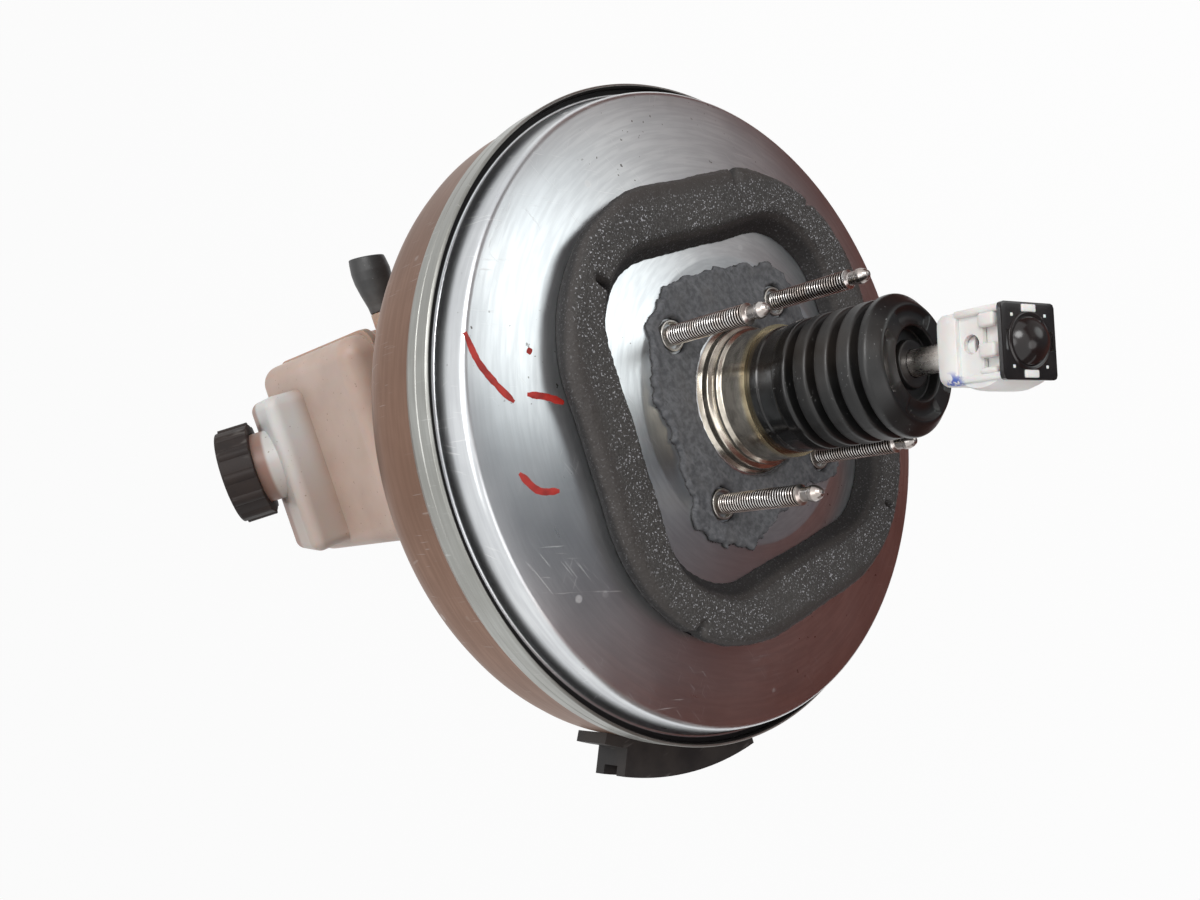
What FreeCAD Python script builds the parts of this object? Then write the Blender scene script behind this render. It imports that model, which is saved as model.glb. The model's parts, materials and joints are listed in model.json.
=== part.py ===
import FreeCAD, Part
import math
import os

from FreeCAD import Rotation, Vector

# Frame: origin at the centre of the four studs on the flat mounting face,
# +Y towards the master cylinder, +Z up towards the reservoir, +X across. Millimetres.

# Clearances
RUNNING_GAP = 0.05
FIT_GAP = 0.1
SOFT_GAP = 0.3
LOOSE_GAP = 0.5

# Shells
SHEET = 1.8
NECK_RADIUS = 26.7
NECK_END = -22.0
BEAD_RADIUS = 29.7
BEAD_START = -7.5
PAD_INNER_RADIUS = 33.5
PAD_RADIUS = 60.0
STEP_RADIUS = 75.0
STEP_DEPTH = 2.2
SHOULDER_RADIUS = 133.0
SHOULDER_CORNER = 4.0
SHOULDER_DEPTH = 10.8
WALL_RADIUS = 135.6
FLANGE_DEPTH = 24.5
FLANGE_RADIUS = 138.6
RIM_RADIUS = FLANGE_RADIUS + SHEET + 2 * FIT_GAP
RIM_START = 22.0
RIM_END = 34.0
BOWL_STEP = 1.6
BOWL_RADIUS = RIM_RADIUS - BOWL_STEP
BOWL_START = 37.0
BOWL_CORNER = 73.9
BOWL_ROUND = 26.0
FRONT_CONE_RADIUS = 60.0
FRONT_CONE_DEPTH = 95.1
FRONT_PAD_RADIUS = 54.0
FRONT_FACE = 97.5
SPIGOT_RADIUS = 20.0

# Firewall studs
STUD_SPACING_X = 69.2
STUD_SPACING_Z = 66.8
STUD_RADIUS = 4.0
STUD_THREAD_END = -40.5
STUD_TIP_END = -50.0
STUD_TIP_RADIUS = 3.1
STUD_SHANK_RADIUS = 4.3
STUD_COLLAR_RADIUS = 6.3
STUD_COLLAR_WALL = 1.1
STUD_COLLAR_HEIGHT = 1.8
STUD_HEAD_RADIUS = 8.0
STUD_HEAD_HEIGHT = 3.0
STUD_PLATE = 2.5

# Gaskets on the rear face
FOAM_HALF = 93.0
FOAM_CORNER = 70.0
FOAM_INNER_HALF = 69.0
FOAM_INNER_CORNER = 36.0
FOAM_FACE = -7.0
MASTIC_HEIGHT = 2.5
MASTIC_OUTLINE = [
    (54, 29), (41, 45), (14, 52), (0, 49), (-25, 49), (-38, 51), (-48, 42), (-57, 25),
    (-50, 4), (-44, -22), (-47, -42), (-30, -50), (0, -51), (30, -49), (45, -45), (51, -38), (55, -5),
]

# Boot and input rod
BOOT_WALL = 1.8
BOOT_BAND_RADIUS = 25.9
BOOT_GROOVE_RADIUS = 20.9
BOOT_END_RADIUS = 26.4
BOOT_END_BAND = 2.7
BOOT_BAND_START = -35.0
BOOT_SLEEVE_RADIUS = 24.9
BOOT_SLEEVE_STEP = 0.8
BOOT_END_START = -73.8
BOOT_FACE = -81.0
BOOT_FOLDS = 3
BOOT_HUB_RADIUS = 9.0
BOOT_RECESS_RADIUS = 13.5
BOOT_RECESS = 4.5
BREATHER_HOLES = 6
BREATHER_RADIUS = 1.6
BOOT_FOLD_STEPS = (0.18, 0.30, 0.46)
ROD_RADIUS = 5.0
ROD_FRONT = -2.0
ROD_FRONT_BALL = 6.2
BALL_CENTRE = -106.0
BALL_RADIUS = 6.5

# Pedal clip, tilted and turned on the ball as it hangs at rest
CLIP_TILT = -13.0
CLIP_TURN = 17.0
CLIP_HALF = 12.4
CLIP_CORNER = 3.0
CLIP_LENGTH = 17.6
CLIP_BACK = 8.5
CLIP_FLOOR = 2.5
CLIP_WALL = 2.6
CLIP_WINDOW_WIDTH = 10.0
CLIP_WINDOW_START = -13.5
CLIP_BULGE = 3.2
CLIP_CUP_WALL = 2.0
CLIP_CUP_REACH = 4.0
CLIP_ENTRY_RADIUS = 5.5
CLIP_ENTRY_FLARE = 3.0
CLIP_PLATE_HALF = 12.7
CLIP_PLATE = 1.6
DOME_RADIUS = 8.8
DOME_HEIGHT = 5.0

# Valve body and what it carries
HUB_RADIUS = 17.5
HUB_BORE = 15.0
HUB_END = -58.0
SEAT_RADIUS = 26.0
FLANGE_PLATE_RADIUS = 34.0
FLANGE_REAR = 12.0
FLANGE_FRONT = 16.0
BOSS_RADIUS = 24.0
BOSS_FRONT = 28.0
PLUNGER_RADIUS = 9.25
PLUNGER_REAR = -9.0
POPPET_BORE = 12.5
POPPET_SEAT = -8.0
POPPET_STEP = -21.0
DISC_RADIUS = 14.2
DISC_REAR = 20.0
DISC_HEIGHT = 6.0
POPPET_REAR = -11.5
POPPET_INNER = 6.2
POPPET_RING = (-29.0, -25.0)
POPPET_RING_INNER = 10.5
POPPET_COIL = 10.6
POPPET_WIRE = 0.6
POPPET_TURNS = 4
SPRING_SEAT = (-50.0, -48.0)
ROD_COIL = 11.7
ROD_WIRE = 0.9
ROD_TURNS = 5
PLUNGER_NOSE_GAP = 2.0
KEY_THICKNESS = 2.5
KEY_REAR = 10.0
KEY_HALF_WIDTH = 10.0
KEY_TOP = 23.5
KEY_FOOT = -7.0
PLUNGER_NECK_RADIUS = 6.0
PLUNGER_NECK = (8.0, 13.0)
RETAINER_WALL = 1.5
RETAINER_HOLE = 5.5
OUTPUT_RADIUS = 4.5
OUTPUT_HEAD = 3.5
OUTPUT_TIP = 113.7
PLATE_SHEET = 1.2
PLATE_REAR = 10.8
DIAPHRAGM_REAR = 8.6
PLATE_RIM_RADIUS = 112.2
DIAPHRAGM_ROLL_DEPTH = 42.0
DIAPHRAGM_SHEET = 1.7
DIAPHRAGM_RIM_GAP = 0.7
DIAPHRAGM_ROLL_GAP = 5.6
DIAPHRAGM_ROLL_INNER = PLATE_RIM_RADIUS + DIAPHRAGM_SHEET + DIAPHRAGM_RIM_GAP
DIAPHRAGM_ROLL_OUTER = FLANGE_RADIUS - DIAPHRAGM_ROLL_GAP
PLATE_FLAT_RADIUS = 62.0
PLATE_RISE = 7.0
PLATE_CORNER = 3.0

# Return spring
RETURN_WIRE = 2.1
RETURN_REAR_RADIUS = 29.5
RETURN_FRONT_RADIUS = 25.0
RETURN_TURNS = 6

# Master cylinder
BORE_RADIUS = 11.9
BARREL_RADIUS = 19.0
BARREL_END = 212.0
BORE_END = 205.0
SPIGOT_REAR = 84.0
FLANGE_THICKNESS = 10.0
FLANGE_STUD_OFFSET = 41.0
FLANGE_EAR_RADIUS = 12.0
FLANGE_STUD_LENGTH = 27.0
NUT_ACROSS_FLATS = 13.0
NUT_HEIGHT = 8.0
FLANGE_SEAL_INNER = 21.5
FLANGE_SEAL_OUTER = 24.0
FLANGE_SEAL_DEPTH = 2.0
PRIMARY_REAR = 85.5
PRIMARY_SHOULDER = 90.0
PRIMARY_FRONT = 128.0
PRIMARY_NECK_RADIUS = 9.5
SECONDARY_REAR = 150.0
SECONDARY_FRONT = 178.0
CUP_HEIGHT = 4.0
CUP_DEPTH = 2.8
SOCKET_RADIUS = 5.2
CIRCLIP_HEIGHT = 1.2
CIRCLIP_GROOVE = 1.1
CIRCLIP_GAP = 3.0
CUP_SETBACK = 4.0
CYLINDER_WIRE = 0.9
CYLINDER_TURNS = 6
FEED_RADIUS = 1.0
NOSE_CHAMFER = 4.0
GROMMET_PLACES = (130.0, 176.0)
TOWER_RADIUS = 14.0
TOWER_TOP = 32.0
TOWER_BORE = 10.0
TOWER_FLOOR = 20.0
PORT_PLACES = (136.0, 184.0)
PORT_BOSS_RADIUS = 10.0
PORT_FACE = -32.0
PORT_RADIUS = 5.1
PORT_DEPTH = 13.0
LUG_PLACE = 153.0
LUG_HALF = 8.0
LUG_TOP = 42.0
LUG_PIN_RADIUS = 2.5
LUG_PIN_OVERHANG = 7.0

# Reservoir
TANK_WALL = 2.4
TANK_LEFT = -18.0
TANK_RIGHT = 75.0
TANK_REAR = 118.0
TANK_FRONT = 205.0
TANK_FLOOR = 50.0
TANK_TOP = 103.0
TANK_ROUND = 9.0
SEAM_HEIGHT = 86.0
SEAM_WIDTH = 1.5
SEAM_THICKNESS = 3.0
TANK_WELD = SEAM_HEIGHT + SEAM_THICKNESS / 2
UPPER_LEFT = -13.0
UPPER_RIGHT = 61.0
UPPER_REAR = 165.0
UPPER_TOP_REAR = 122.0
UPPER_TOP_FRONT = 111.0
UPPER_ROUND = 5.0
FILLER_X = 31.0
FILLER_Y = 190.0
FILLER_Z = 114.0
FILLER_TILT = 34.0
FILLER_RADIUS = 16.5
FILLER_WALL = 2.0
FILLER_ROOT = 7.0
FILLER_TOP = 15.9
CAP_RADIUS = 22.5
CAP_START = 7.0
CAP_HEIGHT = 14.5
CAP_WALL = 2.5
CAP_RIBS = 12
CAP_RIB_RADIUS = 3.2
CAP_SEAL_HEIGHT = 1.5
STRAINER_WALL = 1.0
STRAINER_DEPTH = 12.0
STRAINER_TOP = 15.0
SPOUT_Y = 130.0
SPOUT_Z = 70.0
SPOUT_RADIUS = 4.5
SPOUT_END = 96.0
SPOUT_COLLAR_END = 82.0
SPOUT_WALL = 1.5
STEM_RADIUS = 7.0
STEM_LOW = 24.0
STEM_WALL = 2.0
HOSE_END = 107.5
HOSE_WIDE_RADIUS = 8.8
HOSE_NARROW_RADIUS = 6.0
HOSE_WAIST = 5.0
HOSE_SHOULDER = 12.0
FLOAT_RADIUS = 12.0
FLOAT_HEIGHT = 10.0
FLOAT_X = 45.0
FLOAT_Y = 185.0
FLOAT_TRAVEL = 30.0
GUIDE_RADIUS = 2.5
SWITCH_RADIUS = 6.0
SWITCH_LENGTH = 26.0
PLUG_HEIGHT = 8.0
PLUG_WALL = 1.5
GROMMET_LIP_THICKNESS = 4.0

# Vacuum inlet
INLET_X = -70.0
INLET_Z = -66.0
INLET_FACE = 91.0
INLET_BOSS_RADIUS = 17.0
INLET_HOLE = 10.0
GROMMET_LIP = 13.0
GROMMET_LIP_HEIGHT = 3.0
VALVE_STEM_RADIUS = 6.2
VALVE_STEM_REAR = 80.0
VALVE_CASE_RADIUS = 10.0
VALVE_CASE_END = 114.0
VALVE_WALL = 2.0
CHECK_DISC_RADIUS = 7.0
CHECK_DISC_HEIGHT = 1.5
CHECK_COIL = 4.6
CHECK_WIRE = 0.7
CHECK_TURNS = 3
NIPPLE_RADIUS = 5.5
NIPPLE_BORE = 3.5
NIPPLE_LENGTH = 42.0
NIPPLE_COLLAR_RADIUS = 7.5
NIPPLE_COLLAR_LENGTH = 4.0

# Line bracket on the front shell
BRACKET_START = 143.0
BRACKET_END = 180.0
CHANNEL_START = 148.0
CHANNEL_END = 178.0
BRACKET_REAR = 50.0
BRACKET_FRONT = 68.0
SADDLE_THICKNESS = 4.5
CHANNEL_HEIGHT = 16.0
CHANNEL_RADIUS = BOWL_RADIUS + CHANNEL_HEIGHT
PIPE_GROOVE_DEPTH = 4.0
PIPE_GROOVE_LIP = 5.0


def span(low, high):
    return high - low


def profile_point(radius, depth):
    return Vector(radius, depth, 0)


def shifted_path(points, distance):
    """The path moved to its left by a distance, with mitred corners."""
    normals = []
    for start, end in zip(points, points[1:]):
        run = (end - start).normalize()
        normals.append(Vector(-run.y, run.x, 0))
    moved = [points[0] + normals[0] * distance]
    for corner, before, after in zip(points[1:], normals, normals[1:]):
        moved.append(corner + (before + after) * (distance / (1 + before.dot(after))))
    moved.append(points[-1] + normals[-1] * distance)
    return moved


def rounded_path(points, radii):
    """Line and arc edges through the points; one radius for each inner corner."""
    edges = []
    start = points[0]
    for before, corner, after, radius in zip(points, points[1:], points[2:], radii):
        if radius <= 0:
            edges.append(Part.LineSegment(start, corner).toShape())
            start = corner
            continue
        back = (before - corner).normalize()
        onward = (after - corner).normalize()
        half = back.getAngle(onward) / 2
        first = corner + back * (radius / math.tan(half))
        last = corner + onward * (radius / math.tan(half))
        centre = corner + (back + onward).normalize() * (radius / math.sin(half))
        middle = centre + (corner - centre).normalize() * radius
        edges.append(Part.LineSegment(start, first).toShape())
        edges.append(Part.Arc(first, middle, last).toShape())
        start = last
    edges.append(Part.LineSegment(start, points[-1]).toShape())
    return edges


def turn_direction(before, corner, after):
    inward = corner - before
    outward = after - corner
    return inward.x * outward.y - inward.y * outward.x


def turned_sheet(pairs, thickness, rounds=None):
    """Sheet of even thickness, turned about Y from its outer path; rounds maps a corner to its radius."""
    rounds = rounds or {}
    points = [profile_point(*pair) for pair in pairs]
    outer_radii = []
    inner_radii = []
    for index in range(1, len(points) - 1):
        radius = rounds.get(index, 0)
        turn = turn_direction(points[index - 1], points[index], points[index + 1])
        change = -thickness if turn > 0 else thickness
        outer_radii.append(radius)
        inner_radii.append(max(radius + change, 0) if radius else 0)
    inner = shifted_path(points, thickness)
    edges = rounded_path(points, outer_radii) + rounded_path(inner, inner_radii)
    edges.append(Part.LineSegment(points[0], inner[0]).toShape())
    edges.append(Part.LineSegment(points[-1], inner[-1]).toShape())
    face = Part.Face(Part.Wire(Part.__sortEdges__(edges)))
    return face.revolve(Vector(0, 0, 0), Vector(0, 1, 0), 360)


def turned(pairs):
    """Solid turned about Y from a closed outline of radius and depth pairs."""
    points = [profile_point(*pair) for pair in pairs]
    face = Part.Face(Part.makePolygon(points + points[:1]))
    return face.revolve(Vector(0, 0, 0), Vector(0, 1, 0), 360)


def ring(inner, outer, rear, front):
    return turned([(inner, rear), (outer, rear), (outer, front), (inner, front)])


def rod(radius, rear, front, x=0, z=0):
    return Part.makeCylinder(radius, span(rear, front), Vector(x, rear, z), Vector(0, 1, 0))


def tube(inner, outer, rear, front, x=0, z=0):
    return rod(outer, rear, front, x, z).cut(rod(inner, rear, front, x, z))


def block(x_span, y_span, z_span):
    size = [span(*pair) for pair in (x_span, y_span, z_span)]
    return Part.makeBox(*size, Vector(x_span[0], y_span[0], z_span[0]))


def rounded_square(half, corner, rear, front):
    """Square prism along Y with rounded long edges."""
    solid = block((-half, half), (rear, front), (-half, half))
    long_edges = [edge for edge in solid.Edges if abs(edge.tangentAt(edge.FirstParameter).y) > 0.9]
    return solid.makeFillet(corner, long_edges)


def coil(radius, wire, rear, front, turns, top_radius=None):
    """Round-wire coil about Y between two flat seats."""
    height = span(rear, front) - 2 * wire
    top_radius = radius if top_radius is None else top_radius
    angle = math.degrees(math.atan2(top_radius - radius, height))
    spine = Part.makeHelix(height / turns, height, radius, angle)
    start = Vector(radius, 0, 0)
    section = Part.Wire([Part.makeCircle(wire, start, Vector(0, 1, 0))])
    solid = Part.Wire(spine).makePipeShell([section], True, True)
    solid.rotate(Vector(0, 0, 0), Vector(1, 0, 0), -90)
    solid.translate(Vector(0, rear + wire, 0))
    return solid


def group(solids):
    return Part.makeCompound(solids)


def stud_places():
    return [(sx * STUD_SPACING_X / 2, sz * STUD_SPACING_Z / 2) for sx in (1, -1) for sz in (1, -1)]


def polar(radius, degrees):
    angle = math.radians(degrees)
    return radius * math.cos(angle), radius * math.sin(angle)


# Rear shell, firewall studs and gaskets

def rear_outline():
    return [
        (NECK_RADIUS, NECK_END),
        (NECK_RADIUS, BEAD_START - (BEAD_RADIUS - NECK_RADIUS) / 2),
        (BEAD_RADIUS, BEAD_START),
        (BEAD_RADIUS, BEAD_START / 3),
        (PAD_INNER_RADIUS, 0),
        (PAD_RADIUS, 0),
        (STEP_RADIUS, STEP_DEPTH),
        (SHOULDER_RADIUS, SHOULDER_DEPTH),
        (WALL_RADIUS, FLANGE_DEPTH),
        (FLANGE_RADIUS, FLANGE_DEPTH),
    ]


def rear_shell():
    shell = turned_sheet(rear_outline(), SHEET, {7: SHOULDER_CORNER})
    for x, z in stud_places():
        shell = shell.cut(rod(STUD_SHANK_RADIUS + FIT_GAP, -SHEET, 2 * SHEET, x, z))
    return shell


def stud_plate():
    plate = ring(PAD_INNER_RADIUS, PAD_RADIUS - SHEET, SHEET, SHEET + STUD_PLATE)
    for x, z in stud_places():
        plate = plate.cut(rod(STUD_SHANK_RADIUS + FIT_GAP, 0, 2 * (SHEET + STUD_PLATE), x, z))
    return plate


def mounting_stud(x, z):
    head_rear = SHEET + STUD_PLATE
    thread = rod(STUD_RADIUS, STUD_THREAD_END, 0, x, z)
    shank = rod(STUD_SHANK_RADIUS, 0, head_rear, x, z)
    head = rod(STUD_HEAD_RADIUS, head_rear, head_rear + STUD_HEAD_HEIGHT, x, z)
    cone_start = STUD_TIP_END + STUD_TIP_RADIUS
    tip = rod(STUD_TIP_RADIUS, cone_start, STUD_THREAD_END, x, z)
    nose = Part.makeCone(STUD_TIP_RADIUS, STUD_TIP_RADIUS / 3, STUD_TIP_RADIUS,
                         Vector(x, cone_start, z), Vector(0, -1, 0))
    return thread.fuse([shank, head, tip, nose]).removeSplitter()


def stud_collar(x, z):
    return tube(STUD_COLLAR_RADIUS - STUD_COLLAR_WALL, STUD_COLLAR_RADIUS, -STUD_COLLAR_HEIGHT, 0, x, z)


def mounting_foam():
    depth = SHOULDER_DEPTH
    outer = rounded_square(FOAM_HALF, FOAM_CORNER, FOAM_FACE, depth)
    inner = rounded_square(FOAM_INNER_HALF, FOAM_INNER_CORNER, FOAM_FACE - 1, depth + 1)
    face = [(radius, place - SOFT_GAP) for radius, place in rear_outline()[5:8]]
    backing = turned([(0, -SOFT_GAP)] + face + [(SHOULDER_RADIUS, 2 * depth), (0, 2 * depth)])
    return outer.cut(inner).cut(backing)


def sealing_mastic():
    points = [Vector(x, 0, z) for x, z in MASTIC_OUTLINE]
    pad = Part.Face(Part.makePolygon(points + points[:1])).extrude(Vector(0, -MASTIC_HEIGHT, 0))
    pad = pad.cut(rod(PAD_INNER_RADIUS + LOOSE_GAP, -2 * MASTIC_HEIGHT, MASTIC_HEIGHT))
    for x, z in stud_places():
        pad = pad.cut(rod(STUD_COLLAR_RADIUS + SOFT_GAP, -2 * MASTIC_HEIGHT, MASTIC_HEIGHT, x, z))
    return pad


# Neck bearing and boot

NECK_BORE = NECK_RADIUS - SHEET
GUIDE = (-12.0, -9.2)
SEAL = (-19.4, GUIDE[0] - FIT_GAP)
SEAL_RING = (SEAL[0] - 1.4, SEAL[0] - FIT_GAP)


def neck_guide():
    return ring(HUB_RADIUS + RUNNING_GAP, NECK_BORE - FIT_GAP, *GUIDE)


def neck_seal():
    return ring(HUB_RADIUS + SOFT_GAP, NECK_BORE - FIT_GAP, *SEAL)


def seal_retainer():
    return ring(HUB_RADIUS + 2 * SOFT_GAP, NECK_BORE - FIT_GAP, *SEAL_RING)


def boot_outline():
    """Outer path of the boot from the rod to the neck."""
    pairs = [
        (ROD_RADIUS + SOFT_GAP, BOOT_FACE + BOOT_WALL),
        (BOOT_HUB_RADIUS, BOOT_FACE + BOOT_WALL),
        (BOOT_HUB_RADIUS, BOOT_FACE + BOOT_RECESS),
        (BOOT_RECESS_RADIUS, BOOT_FACE + BOOT_RECESS),
        (BOOT_RECESS_RADIUS, BOOT_FACE),
        (BOOT_END_RADIUS - BOOT_RECESS, BOOT_FACE),
        (BOOT_END_RADIUS, BOOT_END_START - BOOT_END_BAND),
        (BOOT_END_RADIUS, BOOT_END_START),
    ]
    pitch = span(BOOT_END_START, BOOT_BAND_START) / (BOOT_FOLDS + 1)
    fold_radii = (BOOT_GROOVE_RADIUS, BOOT_GROOVE_RADIUS, BOOT_BAND_RADIUS)
    for fold in range(BOOT_FOLDS + 1):
        start = BOOT_END_START + fold * pitch
        for radius, step in zip(fold_radii, BOOT_FOLD_STEPS):
            pairs.append((radius, start + step * pitch))
        pairs.append((BOOT_BAND_RADIUS, start + pitch))
    pairs.append((BOOT_SLEEVE_RADIUS, BOOT_BAND_START + BOOT_SLEEVE_STEP))
    pairs.append((BOOT_SLEEVE_RADIUS, NECK_END - FIT_GAP))
    return pairs


def boot():
    shell = turned_sheet(boot_outline(), BOOT_WALL)
    hole_circle = (BOOT_HUB_RADIUS + BOOT_RECESS_RADIUS) / 2
    for index in range(BREATHER_HOLES):
        x, z = polar(hole_circle, index * 360 / BREATHER_HOLES)
        shell = shell.cut(rod(BREATHER_RADIUS, BOOT_FACE, BOOT_FACE + 3 * BOOT_RECESS, x, z))
    return shell


# Valve body, diaphragm and valve

def stop_key():
    front = KEY_REAR + KEY_THICKNESS
    plate = block((-KEY_HALF_WIDTH, KEY_HALF_WIDTH), (KEY_REAR, front), (KEY_FOOT, KEY_TOP))
    throat = PLUNGER_NECK_RADIUS + FIT_GAP
    slot = block((-throat, throat), (KEY_REAR, front), (KEY_FOOT, 0))
    return plate.cut(slot).cut(rod(throat, KEY_REAR, front))


def valve_body():
    disc_bore = DISC_RADIUS + FIT_GAP
    plunger_bore = PLUNGER_RADIUS + RUNNING_GAP
    body = turned([
        (HUB_BORE, HUB_END), (HUB_RADIUS, HUB_END), (HUB_RADIUS, DIAPHRAGM_REAR - LOOSE_GAP),
        (SEAT_RADIUS, DIAPHRAGM_REAR - LOOSE_GAP), (SEAT_RADIUS, FLANGE_REAR),
        (FLANGE_PLATE_RADIUS, FLANGE_REAR), (FLANGE_PLATE_RADIUS, FLANGE_FRONT),
        (BOSS_RADIUS, FLANGE_FRONT), (BOSS_RADIUS, BOSS_FRONT), (disc_bore, BOSS_FRONT),
        (disc_bore, DISC_REAR), (plunger_bore, DISC_REAR), (plunger_bore, POPPET_SEAT),
        (POPPET_BORE, POPPET_SEAT), (POPPET_BORE, POPPET_STEP), (HUB_BORE, POPPET_STEP),
    ])
    slot = block((-KEY_HALF_WIDTH - FIT_GAP, KEY_HALF_WIDTH + FIT_GAP),
                 (KEY_REAR - FIT_GAP, KEY_REAR + KEY_THICKNESS + FIT_GAP),
                 (KEY_FOOT - FIT_GAP, FLANGE_PLATE_RADIUS + 1))
    return body.cut(slot)


def valve_plunger():
    nose = DISC_REAR - PLUNGER_NOSE_GAP
    neck_rear, neck_front = PLUNGER_NECK
    solid = turned([
        (0, PLUNGER_REAR), (PLUNGER_RADIUS, PLUNGER_REAR), (PLUNGER_RADIUS, neck_rear),
        (PLUNGER_NECK_RADIUS, neck_rear), (PLUNGER_NECK_RADIUS, neck_front),
        (PLUNGER_RADIUS, neck_front), (PLUNGER_RADIUS, nose), (0, nose),
    ])
    socket = Part.makeSphere(ROD_FRONT_BALL + RUNNING_GAP, Vector(0, ROD_FRONT, 0))
    return solid.cut(socket).cut(rod(ROD_RADIUS + LOOSE_GAP, PLUNGER_REAR, ROD_FRONT))


def input_rod():
    front_ball = Part.makeSphere(ROD_FRONT_BALL, Vector(0, ROD_FRONT, 0))
    rear_ball = Part.makeSphere(BALL_RADIUS, Vector(0, BALL_CENTRE, 0))
    return rod(ROD_RADIUS, BALL_CENTRE, ROD_FRONT).fuse([front_ball, rear_ball])


def poppet_valve():
    front = POPPET_SEAT - FIT_GAP
    disc = ring(POPPET_INNER, POPPET_BORE - SOFT_GAP, POPPET_REAR, front)
    return disc.cut(rod(PLUNGER_RADIUS + SOFT_GAP, PLUNGER_REAR - SOFT_GAP, front))


def poppet_retainer():
    return ring(POPPET_RING_INNER, HUB_BORE - FIT_GAP, *POPPET_RING)


def poppet_spring():
    return coil(POPPET_COIL, POPPET_WIRE, POPPET_RING[1] + FIT_GAP, POPPET_REAR - FIT_GAP, POPPET_TURNS)


def spring_seat():
    return ring(ROD_RADIUS + RUNNING_GAP, HUB_BORE - LOOSE_GAP, *SPRING_SEAT)


def rod_spring():
    return coil(ROD_COIL, ROD_WIRE, SPRING_SEAT[1] + FIT_GAP, POPPET_RING[0] - FIT_GAP, ROD_TURNS)


def air_filter():
    front = SPRING_SEAT[0] - 2 * LOOSE_GAP
    return ring(ROD_RADIUS + SOFT_GAP, HUB_BORE - FIT_GAP, HUB_END + LOOSE_GAP, front)


def reaction_disc():
    return rod(DISC_RADIUS, DISC_REAR, DISC_REAR + DISC_HEIGHT)


def output_rod():
    head_rear = DISC_REAR + DISC_HEIGHT
    head = rod(DISC_RADIUS, head_rear, head_rear + OUTPUT_HEAD)
    shaft = rod(OUTPUT_RADIUS, head_rear, OUTPUT_TIP - OUTPUT_RADIUS)
    tip = Part.makeSphere(OUTPUT_RADIUS, Vector(0, OUTPUT_TIP - OUTPUT_RADIUS, 0))
    return head.fuse([shaft, tip]).removeSplitter()


def rod_retainer():
    inner = BOSS_RADIUS + FIT_GAP
    outer = inner + RETAINER_WALL
    front = DISC_REAR + DISC_HEIGHT + OUTPUT_HEAD + FIT_GAP
    rear = FLANGE_FRONT + LOOSE_GAP
    return turned([
        (inner, rear), (outer, rear), (outer, front + RETAINER_WALL),
        (RETAINER_HOLE, front + RETAINER_WALL), (RETAINER_HOLE, front), (inner, front),
    ])


def diaphragm_plate():
    rise = PLATE_REAR + PLATE_RISE
    outline = [
        (SEAT_RADIUS + FIT_GAP, PLATE_REAR), (PLATE_FLAT_RADIUS, PLATE_REAR),
        (PLATE_RIM_RADIUS, rise), (PLATE_RIM_RADIUS, rise + PLATE_RISE),
    ]
    return turned_sheet(outline, PLATE_SHEET, {2: PLATE_CORNER})


def diaphragm():
    bead = FLANGE_DEPTH + SHEET + FIT_GAP
    roll = min(0.49 * span(DIAPHRAGM_ROLL_INNER, DIAPHRAGM_ROLL_OUTER),
               0.9 * span(bead, DIAPHRAGM_ROLL_DEPTH))
    outline = [
        (SEAT_RADIUS + FIT_GAP, DIAPHRAGM_REAR), (PLATE_FLAT_RADIUS, DIAPHRAGM_REAR),
        (DIAPHRAGM_ROLL_INNER, DIAPHRAGM_REAR + PLATE_RISE), (DIAPHRAGM_ROLL_INNER, DIAPHRAGM_ROLL_DEPTH),
        (DIAPHRAGM_ROLL_OUTER, DIAPHRAGM_ROLL_DEPTH), (DIAPHRAGM_ROLL_OUTER, bead),
        (FLANGE_RADIUS - FIT_GAP, bead),
    ]
    return turned_sheet(outline, DIAPHRAGM_SHEET, {2: PLATE_CORNER, 3: roll, 4: roll})


def return_spring():
    front = FRONT_FACE - SHEET - FIT_GAP
    return coil(RETURN_REAR_RADIUS, RETURN_WIRE, FLANGE_FRONT + FIT_GAP, front, RETURN_TURNS,
                RETURN_FRONT_RADIUS)


# Front shell

def front_shell():
    outline = [
        (RIM_RADIUS, RIM_START), (RIM_RADIUS, RIM_END), (BOWL_RADIUS, BOWL_START),
        (BOWL_RADIUS, BOWL_CORNER), (FRONT_CONE_RADIUS, FRONT_CONE_DEPTH),
        (FRONT_PAD_RADIUS, FRONT_FACE), (SPIGOT_RADIUS + FIT_GAP, FRONT_FACE),
    ]
    shell = turned_sheet(outline, SHEET, {3: BOWL_ROUND})
    deep = FRONT_FACE - 3 * GROMMET_LIP
    boss = rod(INLET_BOSS_RADIUS, BOWL_CORNER + SHEET, INLET_FACE, INLET_X, INLET_Z)
    shell = shell.fuse(boss)
    shell = shell.cut(rod(INLET_BOSS_RADIUS - SHEET, deep, INLET_FACE - SHEET, INLET_X, INLET_Z))
    shell = shell.cut(rod(INLET_HOLE, deep, FRONT_FACE, INLET_X, INLET_Z))
    for side in (1, -1):
        shell = shell.cut(rod(STUD_RADIUS + FIT_GAP, deep, 2 * FRONT_FACE, side * FLANGE_STUD_OFFSET))
    return shell


def front_stud(side):
    x = side * FLANGE_STUD_OFFSET
    rear = FRONT_FACE - SHEET
    head = rod(STUD_HEAD_RADIUS, rear - STUD_HEAD_HEIGHT, rear, x)
    return rod(STUD_RADIUS, rear, FRONT_FACE + FLANGE_STUD_LENGTH, x).fuse(head).removeSplitter()


def flange_nut(side):
    corner = NUT_ACROSS_FLATS / math.sqrt(3)
    rear = FRONT_FACE + FLANGE_THICKNESS
    x = side * FLANGE_STUD_OFFSET
    points = [Vector(x + polar(corner, 60 * i)[0], rear, polar(corner, 60 * i)[1]) for i in range(6)]
    nut = Part.Face(Part.makePolygon(points + points[:1])).extrude(Vector(0, NUT_HEIGHT, 0))
    return nut.cut(rod(STUD_RADIUS + FIT_GAP, rear, rear + NUT_HEIGHT, x))


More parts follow.
